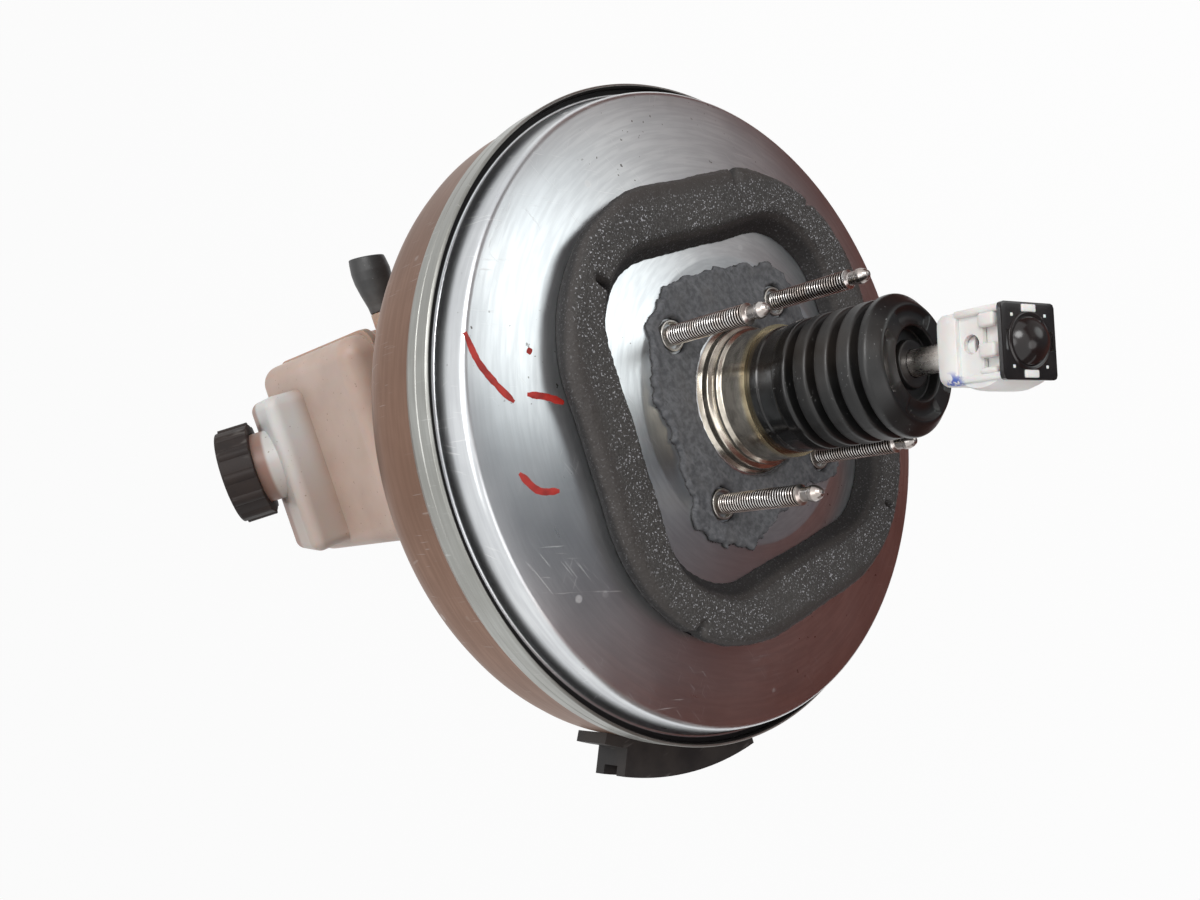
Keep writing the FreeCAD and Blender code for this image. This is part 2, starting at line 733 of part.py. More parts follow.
def flange_seal():
    inner = FLANGE_SEAL_INNER + FIT_GAP
    outer = FLANGE_SEAL_OUTER - FIT_GAP
    return ring(inner, outer, FRONT_FACE + FIT_GAP, FRONT_FACE + FLANGE_SEAL_DEPTH)


# Master cylinder

def master_cylinder():
    front = FRONT_FACE + FLANGE_THICKNESS
    body = turned([
        (BORE_RADIUS, SPIGOT_REAR), (SPIGOT_RADIUS - FIT_GAP, SPIGOT_REAR),
        (SPIGOT_RADIUS - FIT_GAP, FRONT_FACE), (FLANGE_STUD_OFFSET - FLANGE_EAR_RADIUS, FRONT_FACE),
        (FLANGE_STUD_OFFSET - FLANGE_EAR_RADIUS, front), (BARREL_RADIUS, front),
        (BARREL_RADIUS, BARREL_END - NOSE_CHAMFER), (BARREL_RADIUS - NOSE_CHAMFER, BARREL_END),
        (0, BARREL_END), (0, BORE_END), (BORE_RADIUS, BORE_END),
    ])
    parts = []
    for side in (1, -1):
        parts.append(rod(FLANGE_EAR_RADIUS, FRONT_FACE, front, side * FLANGE_STUD_OFFSET))
    web = block((-FLANGE_STUD_OFFSET, FLANGE_STUD_OFFSET), (FRONT_FACE, front),
                (-FLANGE_EAR_RADIUS, FLANGE_EAR_RADIUS))
    parts.append(web.cut(rod(BARREL_RADIUS, FRONT_FACE, front)))
    for y in GROMMET_PLACES:
        parts.append(Part.makeCylinder(TOWER_RADIUS, TOWER_TOP - BORE_RADIUS, Vector(0, y, BORE_RADIUS)))
    for y in PORT_PLACES:
        length = -PORT_FACE - BORE_RADIUS
        parts.append(Part.makeCylinder(PORT_BOSS_RADIUS, length, Vector(PORT_FACE, y, 0), Vector(1, 0, 0)))
    parts.append(block((-LUG_HALF, LUG_HALF), (LUG_PLACE - LUG_HALF, LUG_PLACE + LUG_HALF),
                       (BORE_RADIUS, LUG_TOP)))
    body = body.fuse(parts)
    cuts = [rod(BORE_RADIUS, SPIGOT_REAR - 1, BORE_END)]
    for side in (1, -1):
        cuts.append(rod(STUD_RADIUS + LOOSE_GAP, FRONT_FACE - 1, front + 1, side * FLANGE_STUD_OFFSET))
    for y in GROMMET_PLACES:
        cuts.append(Part.makeCylinder(TOWER_BORE, TOWER_TOP, Vector(0, y, TOWER_FLOOR)))
        cuts.append(Part.makeCylinder(FEED_RADIUS, TOWER_TOP, Vector(0, y, 0)))
    for y in PORT_PLACES:
        cuts.append(Part.makeCylinder(PORT_RADIUS, PORT_DEPTH, Vector(PORT_FACE, y, 0), Vector(1, 0, 0)))
        cuts.append(Part.makeCylinder(FEED_RADIUS, -PORT_FACE, Vector(PORT_FACE, y, 0), Vector(1, 0, 0)))
    cuts.append(lug_pin(FIT_GAP))
    seal_front = FRONT_FACE + FLANGE_SEAL_DEPTH + FIT_GAP
    cuts.append(ring(FLANGE_SEAL_INNER, FLANGE_SEAL_OUTER, FRONT_FACE - 1, seal_front))
    cuts.append(ring(PRIMARY_NECK_RADIUS, BORE_RADIUS + CIRCLIP_GROOVE, *CIRCLIP))
    return body.cut(cuts).removeSplitter()


CIRCLIP = (PRIMARY_SHOULDER - SOFT_GAP - CIRCLIP_HEIGHT, PRIMARY_SHOULDER - SOFT_GAP)


def piston_circlip():
    outer = BORE_RADIUS + CIRCLIP_GROOVE - FIT_GAP
    clip = ring(PRIMARY_NECK_RADIUS + LOOSE_GAP, outer, CIRCLIP[0] + FIT_GAP, CIRCLIP[1] - FIT_GAP)
    return clip.cut(block((-CIRCLIP_GAP, CIRCLIP_GAP), CIRCLIP, (-2 * BORE_RADIUS, 0)))


def cup_places(rear, front):
    first = rear + CUP_SETBACK
    last = front - CUP_SETBACK
    return [(first, first + CUP_HEIGHT), (last - CUP_HEIGHT, last)]


def piston(rear, front, places, shoulder):
    radius = BORE_RADIUS - RUNNING_GAP
    if shoulder > rear:
        neck = PRIMARY_NECK_RADIUS
        outline = [(0, rear), (neck, rear), (neck, shoulder), (radius, shoulder)]
    else:
        outline = [(0, rear), (radius, rear)]
    solid = turned(outline + [(radius, front), (0, front)])
    for low, high in places:
        solid = solid.cut(ring(radius - CUP_DEPTH, radius + 1, low, high))
    return solid


def piston_cups(places):
    radius = BORE_RADIUS - RUNNING_GAP
    return [ring(radius - CUP_DEPTH, radius, low, high) for low, high in places]


PRIMARY_CUPS = cup_places(PRIMARY_SHOULDER, PRIMARY_FRONT)
SECONDARY_CUPS = cup_places(SECONDARY_REAR, SECONDARY_FRONT)


def primary_piston():
    solid = piston(PRIMARY_REAR, PRIMARY_FRONT, PRIMARY_CUPS, PRIMARY_SHOULDER)
    return solid.cut(rod(SOCKET_RADIUS, PRIMARY_REAR, OUTPUT_TIP + FIT_GAP))


def secondary_piston():
    return piston(SECONDARY_REAR, SECONDARY_FRONT, SECONDARY_CUPS, SECONDARY_REAR)


def cylinder_spring(rear, front):
    radius = BORE_RADIUS - CUP_DEPTH
    return coil(radius, CYLINDER_WIRE, rear + FIT_GAP, front - FIT_GAP, CYLINDER_TURNS)


# Reservoir

def rounded_block(x_span, y_span, z_span, radius):
    solid = block(x_span, y_span, z_span)
    return solid.makeFillet(radius, solid.Edges)


def tank_outer(inset):
    lower = rounded_block((TANK_LEFT + inset, TANK_RIGHT - inset), (TANK_REAR + inset, TANK_FRONT - inset),
                          (TANK_FLOOR + inset, TANK_TOP - inset), TANK_ROUND - inset)
    bottom = TANK_TOP - 2 * TANK_ROUND
    points = [
        Vector(UPPER_LEFT + inset, UPPER_REAR + inset, bottom),
        Vector(UPPER_LEFT + inset, UPPER_REAR + inset, UPPER_TOP_REAR - inset),
        Vector(UPPER_LEFT + inset, TANK_FRONT - inset, UPPER_TOP_FRONT - inset),
        Vector(UPPER_LEFT + inset, TANK_FRONT - inset, bottom),
    ]
    across = span(UPPER_LEFT, UPPER_RIGHT) - 2 * inset
    upper = Part.Face(Part.makePolygon(points + points[:1])).extrude(Vector(across, 0, 0))
    rounded = [edge for edge in upper.Edges if edge.BoundBox.ZMax > bottom + 1]
    upper = upper.makeFillet(UPPER_ROUND - inset, rounded)
    return lower.fuse(upper).removeSplitter()


def filler_frame(along):
    """Point on the filler axis and the axis direction."""
    tilt = math.radians(FILLER_TILT)
    axis = Vector(0, math.sin(tilt), math.cos(tilt))
    return Vector(FILLER_X, FILLER_Y, FILLER_Z) + axis * along, axis


def filler_tube(inner, outer, low, high):
    base, axis = filler_frame(low)
    solid = Part.makeCylinder(outer, span(low, high), base, axis)
    if inner > 0:
        solid = solid.cut(Part.makeCylinder(inner, span(low, high), base, axis))
    return solid


def spout(radius, low, high):
    return Part.makeCylinder(radius, span(low, high), Vector(low, SPOUT_Y, SPOUT_Z), Vector(1, 0, 0))


def lug_pin(gap):
    half = LUG_HALF + LUG_PIN_OVERHANG
    place = Vector(-half, LUG_PLACE, LUG_TOP - LUG_HALF)
    return Part.makeCylinder(LUG_PIN_RADIUS + gap, 2 * half, place, Vector(1, 0, 0))


def seam_flange():
    """Weld flange around the tank where its two halves meet."""
    flange = block((TANK_LEFT - SEAM_WIDTH, TANK_RIGHT + SEAM_WIDTH),
                   (TANK_REAR - SEAM_WIDTH, TANK_FRONT + SEAM_WIDTH),
                   (SEAM_HEIGHT, SEAM_HEIGHT + SEAM_THICKNESS))
    upright = [edge for edge in flange.Edges if edge.BoundBox.ZLength > SEAM_THICKNESS / 2]
    return flange.makeFillet(TANK_ROUND, upright)


def whole_tank():
    outer = tank_outer(0)
    parts = [seam_flange(), filler_tube(0, FILLER_RADIUS, -FILLER_ROOT, FILLER_TOP)]
    parts.append(spout(SPOUT_RADIUS, TANK_RIGHT - TANK_WALL, SPOUT_END))
    parts.append(spout(SPOUT_RADIUS + SPOUT_WALL, TANK_RIGHT - TANK_WALL, SPOUT_COLLAR_END))
    for y in GROMMET_PLACES:
        length = span(STEM_LOW, TANK_FLOOR + TANK_WALL)
        parts.append(Part.makeCylinder(STEM_RADIUS, length, Vector(0, y, STEM_LOW)))
    near = LUG_HALF + FIT_GAP
    for x_span in ((near, near + TANK_WALL), (-near - TANK_WALL, -near)):
        parts.append(block(x_span, (LUG_PLACE - LUG_HALF, LUG_PLACE + LUG_HALF),
                           (LUG_TOP - 2 * LUG_HALF, TANK_FLOOR + TANK_WALL / 2)))
    body = outer.fuse(parts)
    cuts = [tank_outer(TANK_WALL)]
    cuts.append(filler_tube(0, FILLER_RADIUS - FILLER_WALL, -FILLER_ROOT - TANK_WALL, FILLER_TOP + 1))
    cuts.append(spout(SPOUT_RADIUS - SPOUT_WALL, TANK_RIGHT - 2 * TANK_WALL, SPOUT_END + 1))
    for y in GROMMET_PLACES:
        cuts.append(Part.makeCylinder(STEM_RADIUS - STEM_WALL, TANK_FLOOR, Vector(0, y, STEM_LOW - 1)))
    cuts.append(lug_pin(FIT_GAP))
    return body.cut(cuts)


def tank_half(low, high):
    """The part of the tank on one side of its weld."""
    room = 2 * TANK_FRONT
    return whole_tank().common(block((-room, room), (0, room), (low, high)))


def float_guide():
    """Post moulded up from the tank floor for the float to slide on."""
    floor = TANK_FLOOR + TANK_WALL
    height = FLOAT_HEIGHT + FLOAT_TRAVEL + 2 * TANK_WALL
    return Part.makeCylinder(GUIDE_RADIUS, height, Vector(FLOAT_X, FLOAT_Y, floor - TANK_WALL / 2))


def level_float():
    floor = TANK_FLOOR + TANK_WALL + LOOSE_GAP
    solid = Part.makeCylinder(FLOAT_RADIUS, FLOAT_HEIGHT, Vector(FLOAT_X, FLOAT_Y, floor))
    hole = Part.makeCylinder(GUIDE_RADIUS + LOOSE_GAP, FLOAT_HEIGHT, Vector(FLOAT_X, FLOAT_Y, floor))
    return solid.cut(hole)


def level_switch():
    """Reed switch plugged up into the underside of the tank, below the float."""
    top = TANK_FLOOR - FIT_GAP
    low = top - SWITCH_LENGTH / 2
    body = Part.makeCylinder(SWITCH_RADIUS, span(low, top), Vector(FLOAT_X, FLOAT_Y, low))
    end = FLOAT_Y + SWITCH_LENGTH
    plug = block((FLOAT_X - SWITCH_RADIUS, FLOAT_X + SWITCH_RADIUS), (FLOAT_Y, end),
                 (low, low + PLUG_HEIGHT))
    half = SWITCH_RADIUS - PLUG_WALL
    socket = block((FLOAT_X - half, FLOAT_X + half), (end - SWITCH_LENGTH / 2, end + 1),
                   (low + PLUG_WALL, low + PLUG_HEIGHT - PLUG_WALL))
    return body.fuse(plug).cut(socket)


def reservoir_grommet(y):
    floor = TOWER_FLOOR + FIT_GAP
    body = Part.makeCylinder(TOWER_BORE - FIT_GAP, TOWER_TOP + 1 - floor, Vector(0, y, floor))
    lip = Part.makeCylinder(TOWER_RADIUS - 1, GROMMET_LIP_THICKNESS, Vector(0, y, TOWER_TOP + FIT_GAP))
    bore = Part.makeCylinder(STEM_RADIUS + FIT_GAP, 2 * TOWER_TOP, Vector(0, y, STEM_LOW - 2 * FIT_GAP))
    duct = Part.makeCylinder(STEM_RADIUS / 2, 2 * TOWER_TOP, Vector(0, y, TOWER_FLOOR))
    return body.fuse(lip).cut([bore, duct])


def filler_cap():
    start, axis = filler_frame(CAP_START)
    cap = Part.makeCylinder(CAP_RADIUS - CAP_RIB_RADIUS / 3, CAP_HEIGHT, start, axis)
    across = Vector(1, 0, 0)
    upward = axis.cross(across)
    for index in range(CAP_RIBS):
        x, z = polar(CAP_RADIUS - CAP_RIB_RADIUS, index * 360 / CAP_RIBS)
        place = start + across * x + upward * z
        cap = cap.fuse(Part.makeCylinder(CAP_RIB_RADIUS, CAP_HEIGHT - 1, place, axis))
    hollow = Part.makeCylinder(FILLER_RADIUS + LOOSE_GAP, CAP_HEIGHT - CAP_WALL, start, axis)
    return cap.cut(hollow)


def cap_seal():
    top = CAP_START + CAP_HEIGHT - CAP_WALL - FIT_GAP
    return filler_tube(FILLER_RADIUS - 5, FILLER_RADIUS - LOOSE_GAP, top - CAP_SEAL_HEIGHT, top)


def strainer():
    """Cup-shaped mesh basket hung on the filler rim."""
    radius = FILLER_RADIUS - FILLER_WALL - SOFT_GAP
    low = STRAINER_TOP - STRAINER_DEPTH
    cup = filler_tube(radius - STRAINER_WALL, radius, low, STRAINER_TOP)
    floor = filler_tube(0, radius, low, low + STRAINER_WALL)
    rim = FILLER_TOP + STRAINER_WALL
    lip = filler_tube(radius - STRAINER_WALL, FILLER_RADIUS - LOOSE_GAP, FILLER_TOP + FIT_GAP, rim)
    stem = filler_tube(radius - STRAINER_WALL, radius, STRAINER_TOP, rim)
    return cup.fuse([floor, stem, lip])


def spout_hose():
    def section(x, radius):
        return Part.Wire([Part.makeCircle(radius, Vector(x, SPOUT_Y, SPOUT_Z), Vector(1, 0, 0))])
    start = SPOUT_COLLAR_END + SOFT_GAP
    sections = [section(start, HOSE_NARROW_RADIUS), section(start + HOSE_WAIST, HOSE_NARROW_RADIUS),
                section(start + HOSE_SHOULDER, HOSE_WIDE_RADIUS), section(HOSE_END, HOSE_WIDE_RADIUS)]
    outer = Part.makeLoft(sections, True, True)
    return outer.cut([spout(SPOUT_RADIUS + FIT_GAP, start - 1, SPOUT_END + SOFT_GAP),
                      spout(SPOUT_RADIUS - 1, SPOUT_END, HOSE_END + 1)])


# Vacuum inlet

def inlet_rod(radius, rear, front):
    return rod(radius, rear, front, INLET_X, INLET_Z)


def vacuum_grommet():
    rear = INLET_FACE - SHEET - GROMMET_LIP_HEIGHT
    front = INLET_FACE + GROMMET_LIP_HEIGHT
    body = inlet_rod(INLET_HOLE - FIT_GAP, rear, front)
    front_lip = inlet_rod(GROMMET_LIP, INLET_FACE + FIT_GAP, front)
    rear_lip = inlet_rod(GROMMET_LIP, rear, INLET_FACE - SHEET - FIT_GAP)
    bore = inlet_rod(VALVE_STEM_RADIUS + SOFT_GAP, rear - 1, front + 1)
    return body.fuse([front_lip, rear_lip]).cut(bore)


def vacuum_elbow():
    case_rear = INLET_FACE + GROMMET_LIP_HEIGHT + SOFT_GAP
    outward = Vector(INLET_X, 0, INLET_Z).normalize()
    centre = Vector(INLET_X, (case_rear + VALVE_CASE_END) / 2, INLET_Z)
    nipple_start = centre + outward * (VALVE_CASE_RADIUS - VALVE_WALL)
    body = inlet_rod(VALVE_CASE_RADIUS, case_rear, VALVE_CASE_END)
    body = body.fuse([inlet_rod(VALVE_STEM_RADIUS, VALVE_STEM_REAR, case_rear),
                      Part.makeCylinder(NIPPLE_COLLAR_RADIUS, NIPPLE_COLLAR_LENGTH, nipple_start, outward),
                      Part.makeCylinder(NIPPLE_RADIUS, NIPPLE_LENGTH, nipple_start, outward)])
    chamber = inlet_rod(VALVE_CASE_RADIUS - VALVE_WALL, case_rear + VALVE_WALL, VALVE_CASE_END - VALVE_WALL)
    duct = inlet_rod(VALVE_STEM_RADIUS - VALVE_WALL, VALVE_STEM_REAR - 1, VALVE_CASE_END - 2 * VALVE_WALL)
    bore = Part.makeCylinder(NIPPLE_BORE, NIPPLE_LENGTH + 1, nipple_start - outward, outward)
    return body.cut([chamber, duct, bore])


def check_seat():
    return INLET_FACE + GROMMET_LIP_HEIGHT + SOFT_GAP + VALVE_WALL + FIT_GAP


def check_disc():
    return inlet_rod(CHECK_DISC_RADIUS, check_seat(), check_seat() + CHECK_DISC_HEIGHT)


def check_spring():
    solid = coil(CHECK_COIL, CHECK_WIRE, check_seat() + CHECK_DISC_HEIGHT + FIT_GAP,
                 VALVE_CASE_END - VALVE_WALL - FIT_GAP, CHECK_TURNS)
    solid.translate(Vector(INLET_X, 0, INLET_Z))
    return solid


# Line bracket

def arc_block(inner, outer, start, end, rear, front):
    face = Part.makePolygon([Vector(inner, rear, 0), Vector(outer, rear, 0), Vector(outer, front, 0),
                             Vector(inner, front, 0), Vector(inner, rear, 0)])
    solid = Part.Face(face).revolve(Vector(0, 0, 0), Vector(0, 1, 0), end - start)
    solid.rotate(Vector(0, 0, 0), Vector(0, 1, 0), -end)
    return solid


def line_bracket():
    inner = BOWL_RADIUS + FIT_GAP
    width = (BRACKET_REAR, BRACKET_FRONT)
    saddle = arc_block(inner, inner + SADDLE_THICKNESS, BRACKET_START, BRACKET_END, *width)
    channel = arc_block(inner, CHANNEL_RADIUS, CHANNEL_START, CHANNEL_END, *width)
    groove = arc_block(CHANNEL_RADIUS - PIPE_GROOVE_DEPTH, CHANNEL_RADIUS + 1, CHANNEL_START - 1,
                       CHANNEL_END + 1, BRACKET_REAR + PIPE_GROOVE_LIP, BRACKET_FRONT - PIPE_GROOVE_LIP)
    return saddle.fuse(channel).cut(groove)


# Pedal clip

def on_ball(solid):
    """Turn and tilt a clip piece, modelled square at the ball centre, into its resting place."""
    solid.rotate(Vector(0, 0, 0), Vector(0, 1, 0), CLIP_TURN)
    solid.rotate(Vector(0, 0, 0), Vector(1, 0, 0), CLIP_TILT)
    solid.translate(Vector(0, BALL_CENTRE, 0))
    return solid


def clip_cage():
    front = -CLIP_LENGTH
    outer = rounded_square(CLIP_HALF, CLIP_CORNER, front, CLIP_BACK)
    bow_radius = (CLIP_HALF ** 2 + CLIP_BULGE ** 2) / (2 * CLIP_BULGE)
    bow = rod(bow_radius, front, CLIP_BACK, bow_radius - CLIP_HALF - CLIP_BULGE)
    bow = bow.common(block((-2 * CLIP_HALF, 0), (front, CLIP_BACK), (-CLIP_HALF, CLIP_HALF)))
    body = outer.fuse(bow)
    hollow = rounded_square(CLIP_HALF - CLIP_WALL, CLIP_CORNER - 1, front, CLIP_FLOOR)
    body = body.cut(hollow)
    window = (-CLIP_WINDOW_WIDTH / 2, CLIP_WINDOW_WIDTH / 2)
    window_depth = (CLIP_WINDOW_START, CLIP_FLOOR)
    reach = (-2 * CLIP_HALF, 2 * CLIP_HALF)
    body = body.cut([block(reach, window_depth, window), block(window, window_depth, reach)])
    cup = rod(BALL_RADIUS + CLIP_CUP_WALL, -CLIP_CUP_REACH, CLIP_FLOOR)
    body = body.fuse(cup)
    ball = Part.makeSphere(BALL_RADIUS + RUNNING_GAP, Vector(0, 0, 0))
    entry = Part.makeCone(CLIP_ENTRY_RADIUS, CLIP_ENTRY_RADIUS + CLIP_ENTRY_FLARE, CLIP_BACK,
                          Vector(0, 0, 0), Vector(0, 1, 0))
    mouth = rod(CLIP_ENTRY_RADIUS, -CLIP_CUP_REACH, 0)
    return on_ball(body.cut([ball, entry, mouth]))


def clip_plate():
    front = -CLIP_LENGTH - RUNNING_GAP
    plate = rounded_square(CLIP_PLATE_HALF, CLIP_CORNER / 2, front - CLIP_PLATE, front)
    ball_radius = (DOME_RADIUS ** 2 + DOME_HEIGHT ** 2) / (2 * DOME_HEIGHT)
    centre = front - CLIP_PLATE - DOME_HEIGHT + ball_radius
    dome = Part.makeSphere(ball_radius, Vector(0, centre, 0))
    dome = dome.common(rod(DOME_RADIUS + 1, front - CLIP_PLATE - DOME_HEIGHT, front))
    return on_ball(plate.fuse(dome))


PARTS = {
    "rear_shell": rear_shell(),
    "stud_plate": stud_plate(),
    "mounting_studs": group([mounting_stud(x, z) for x, z in stud_places()]),
    "stud_collars": group([stud_collar(x, z) for x, z in stud_places()]),
    "mounting_foam": mounting_foam(),
    "sealing_mastic": sealing_mastic(),
    "neck_guide": neck_guide(),
    "neck_seal": neck_seal(),
    "seal_retainer": seal_retainer(),
    "boot": boot(),
    "input_rod": input_rod(),
    "valve_plunger": valve_plunger(),
    "spring_seat": spring_seat(),
    "rod_spring": rod_spring(),
    "clip_cage": clip_cage(),
    "clip_plate": clip_plate(),
    "valve_body": valve_body(),
    "stop_key": stop_key(),
    "poppet_valve": poppet_valve(),
    "poppet_retainer": poppet_retainer(),
    "poppet_spring": poppet_spring(),
    "air_filter": air_filter(),
    "reaction_disc": reaction_disc(),
    "output_rod": output_rod(),
    "rod_retainer": rod_retainer(),
    "diaphragm_plate": diaphragm_plate(),
    "diaphragm": diaphragm(),
    "return_spring": return_spring(),
    "front_shell": front_shell(),
    "front_studs": group([front_stud(1), front_stud(-1)]),
    "flange_nuts": group([flange_nut(1), flange_nut(-1)]),
    "flange_seal": flange_seal(),
    "master_cylinder": master_cylinder(),
    "piston_circlip": piston_circlip(),
    "primary_piston": primary_piston(),
    "primary_cups": group(piston_cups(PRIMARY_CUPS)),
    "secondary_piston": secondary_piston(),
    "secondary_cups": group(piston_cups(SECONDARY_CUPS)),
    "primary_spring": cylinder_spring(PRIMARY_FRONT, SECONDARY_REAR),
    "secondary_spring": cylinder_spring(SECONDARY_FRONT, BORE_END),
    "reservoir": tank_half(0, TANK_WELD).fuse(float_guide()),
    "reservoir_top": tank_half(TANK_WELD, 2 * TANK_FRONT),
    "reservoir_grommets": group([reservoir_grommet(y) for y in GROMMET_PLACES]),
    "retaining_pin": lug_pin(0),
    "filler_cap": filler_cap(),
    "cap_seal": cap_seal(),
    "strainer": strainer(),
    "level_float": level_float(),
    "level_switch": level_switch(),
    "spout_hose": spout_hose(),
    "line_bracket": line_bracket(),
    "vacuum_grommet": vacuum_grommet(),
    "vacuum_elbow": vacuum_elbow(),
    "check_disc": check_disc(),
    "check_spring": check_spring(),
}

os.makedirs("parts", exist_ok=True)
for name, shape in PARTS.items():
    shape.exportStep("parts/" + name + ".step")
    valid = "valid" if shape.isValid() else "NOT VALID"
    print(f"{name}: {len(shape.Solids)} solids, {shape.Volume / 1000:.2f} cm3, {valid}")
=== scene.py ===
import json
import math

import bmesh
import bpy
from mathutils import Matrix, Vector, noise


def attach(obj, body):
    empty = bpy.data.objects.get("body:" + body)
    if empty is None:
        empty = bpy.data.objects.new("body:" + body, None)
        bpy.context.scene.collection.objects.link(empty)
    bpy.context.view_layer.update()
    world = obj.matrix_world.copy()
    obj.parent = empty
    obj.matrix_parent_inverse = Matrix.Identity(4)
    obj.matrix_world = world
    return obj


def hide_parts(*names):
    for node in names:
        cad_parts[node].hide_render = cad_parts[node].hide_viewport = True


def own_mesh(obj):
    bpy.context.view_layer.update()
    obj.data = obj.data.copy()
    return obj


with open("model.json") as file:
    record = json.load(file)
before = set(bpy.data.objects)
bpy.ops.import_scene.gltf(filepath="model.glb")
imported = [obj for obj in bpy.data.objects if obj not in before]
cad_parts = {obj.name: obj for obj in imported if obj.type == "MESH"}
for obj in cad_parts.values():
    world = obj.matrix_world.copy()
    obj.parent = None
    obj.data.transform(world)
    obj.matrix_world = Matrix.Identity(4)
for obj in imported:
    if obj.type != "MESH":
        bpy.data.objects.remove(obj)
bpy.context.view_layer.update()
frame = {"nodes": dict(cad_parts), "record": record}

MM = 0.001


# Node trees

class Socket:
    """A node socket; arithmetic on it adds Math nodes to its tree."""

    def __init__(self, owner, socket):
        self.owner = owner
        self.socket = socket

    def __add__(self, other):
        return self.owner.math("ADD", self, other)

    def __sub__(self, other):
        return self.owner.math("SUBTRACT", self, other)

    def __rsub__(self, other):
        return self.owner.math("SUBTRACT", other, self)

    def __mul__(self, other):
        return self.owner.math("MULTIPLY", self, other)

    def __truediv__(self, other):
        return self.owner.math("DIVIDE", self, other)

    def __pow__(self, power):
        return self.owner.math("POWER", self, power)

    def at_least(self, other):
        return self.owner.math("MAXIMUM", self, other)

    def at_most(self, other):
        return self.owner.math("MINIMUM", self, other)

    __radd__ = __add__
    __rmul__ = __mul__


class Tree:
    """A node tree and the one method that adds any node to it."""

    def __init__(self, tree):
        self.tree = tree

    def node(self, kind, settings=None, sockets=None, output=0):
        made = self.tree.nodes.new(kind)
        for name, value in (settings or {}).items():
            setattr(made, name, value)
        for name, value in (sockets or {}).items():
            entry = made.inputs[name]
            if isinstance(value, Socket):
                self.tree.links.new(value.socket, entry)
            else:
                entry.default_value = (*value, 1.0) if entry.type == "RGBA" else value
        return Socket(self, made.outputs[output]) if made.outputs else None

    def outputs(self, *given):
        """All outputs of one more node."""
        return {made.name: Socket(self, made) for made in self.node(*given).socket.node.outputs}

    def math(self, operation, *values):
        return self.node("ShaderNodeMath", {"operation": operation}, dict(enumerate(values)))

    def split(self, vector):
        return list(self.outputs("ShaderNodeSeparateXYZ", None, {0: vector}).values())

    def join(self, x=0.0, y=0.0, z=0.0):
        return self.node("ShaderNodeCombineXYZ", None, {0: x, 1: y, 2: z})

    def seen_share(self):
        """1 for rays from the camera, a mirror or through glass, 0 for the rest."""
        rays = self.outputs("ShaderNodeLightPath")
        return rays["Is Camera Ray"].at_least(rays["Is Glossy Ray"]).at_least(rays["Is Transmission Ray"])


def grey(value):
    return (value, value, value)


class Finish(Tree):
    """One material with the patterns that the object's surfaces share."""

    def __init__(self, name):
        self.material = bpy.data.materials.new(name)
        self.material.use_nodes = True
        self.material.node_tree.nodes.clear()
        super().__init__(self.material.node_tree)
        self.colour = None
        self.place = self.node("ShaderNodeTexCoord", output="Object")
        self.x, self.y, self.z = self.split(self.place)

    def radius(self):
        return (self.x * self.x + self.z * self.z) ** 0.5

    def angle(self):
        return self.math("ARCTAN2", self.z, self.x)

    def turned(self, around=0.01):
        """Coordinates that run along turning marks round the Y axis."""
        return self.join(self.radius(), self.angle() * around, self.y)

    def noise(self, scale, detail=2.0, at=None, rough=0.5):
        sockets = {"Vector": at or self.place, "Scale": scale, "Detail": detail, "Roughness": rough}
        return self.node("ShaderNodeTexNoise", None, sockets)

    def cells(self, scale, feature="F1"):
        return self.node("ShaderNodeTexVoronoi", {"feature": feature}, {"Vector": self.place, "Scale": scale})

    def level(self, value, low, high):
        """0 below low, 1 above high, smooth between; falls when high is under low."""
        rises = low < high
        ends = {1: min(low, high), 2: max(low, high), 3: 0.0 if rises else 1.0, 4: 1.0 if rises else 0.0}
        return self.node("ShaderNodeMapRange", {"interpolation_type": "SMOOTHSTEP"}, {0: value, **ends})

    def band(self, value, low, low_full, high_full, high):
        """1 between the middle two values, 0 outside the outer two."""
        return self.level(value, low, low_full) * self.level(value, high, high_full)

    def blend(self, factor, first, second):
        return self.node("ShaderNodeMix", {"data_type": "RGBA"}, {0: factor, 6: first, 7: second}, 2)

    def slanted(self, degrees):
        """Distances along and across a direction in the XZ plane."""
        c, s = math.cos(math.radians(degrees)), math.sin(math.radians(degrees))
        return self.x * c + self.z * s, self.z * c - self.x * s

    def scratches(self, degrees, length=70.0, width=1700.0, share=0.70):
        """Short thin scratches across the XZ plane at one angle."""
        along, across = self.slanted(degrees)
        lines = self.noise(1.0, 1.0, self.join(along * length, across * width, self.y * length))
        return self.level(lines, share, share + 0.05)

    def tint(self, share, colour):
        """Blends a share of another colour into the one that the finish has so far."""
        self.colour = self.blend(share, self.colour, colour)

    def finish(self, roughness, height=None, relief=0.1, metal=0.0, **fixed):
        sockets = {"Base Color": self.colour, "Roughness": roughness, "Metallic": metal}
        for name, value in fixed.items():
            sockets[name.replace("_", " ")] = value
        if height is not None:
            bump = {"Height": height, "Distance": relief * MM, "Strength": 1.0}
            sockets["Normal"] = self.node("ShaderNodeBump", None, bump)
        shader = self.node("ShaderNodeBsdfPrincipled", None, sockets)
        return self.surface(shader)

    def glow(self, colour):
        return self.surface(self.node("ShaderNodeEmission", None, {"Color": colour, "Strength": 1.0}))

    def surface(self, shader):
        self.node("ShaderNodeOutputMaterial", None, {"Surface": shader})
        return self.material


# Finishes; apart from the stud places, lengths in them are in metres

STUD_X, STUD_Z = 34.6, 33.4
THREAD_END = -0.0404
# Radii and depths of the rim groove, which is painted near black as painted shade
SHADED_GROOVE_RADII = (0.1364, 0.1369, 0.1393, 0.1397)
SHADED_GROOVE_DEPTHS = (0.0205, 0.0218, 0.0247, 0.0252)


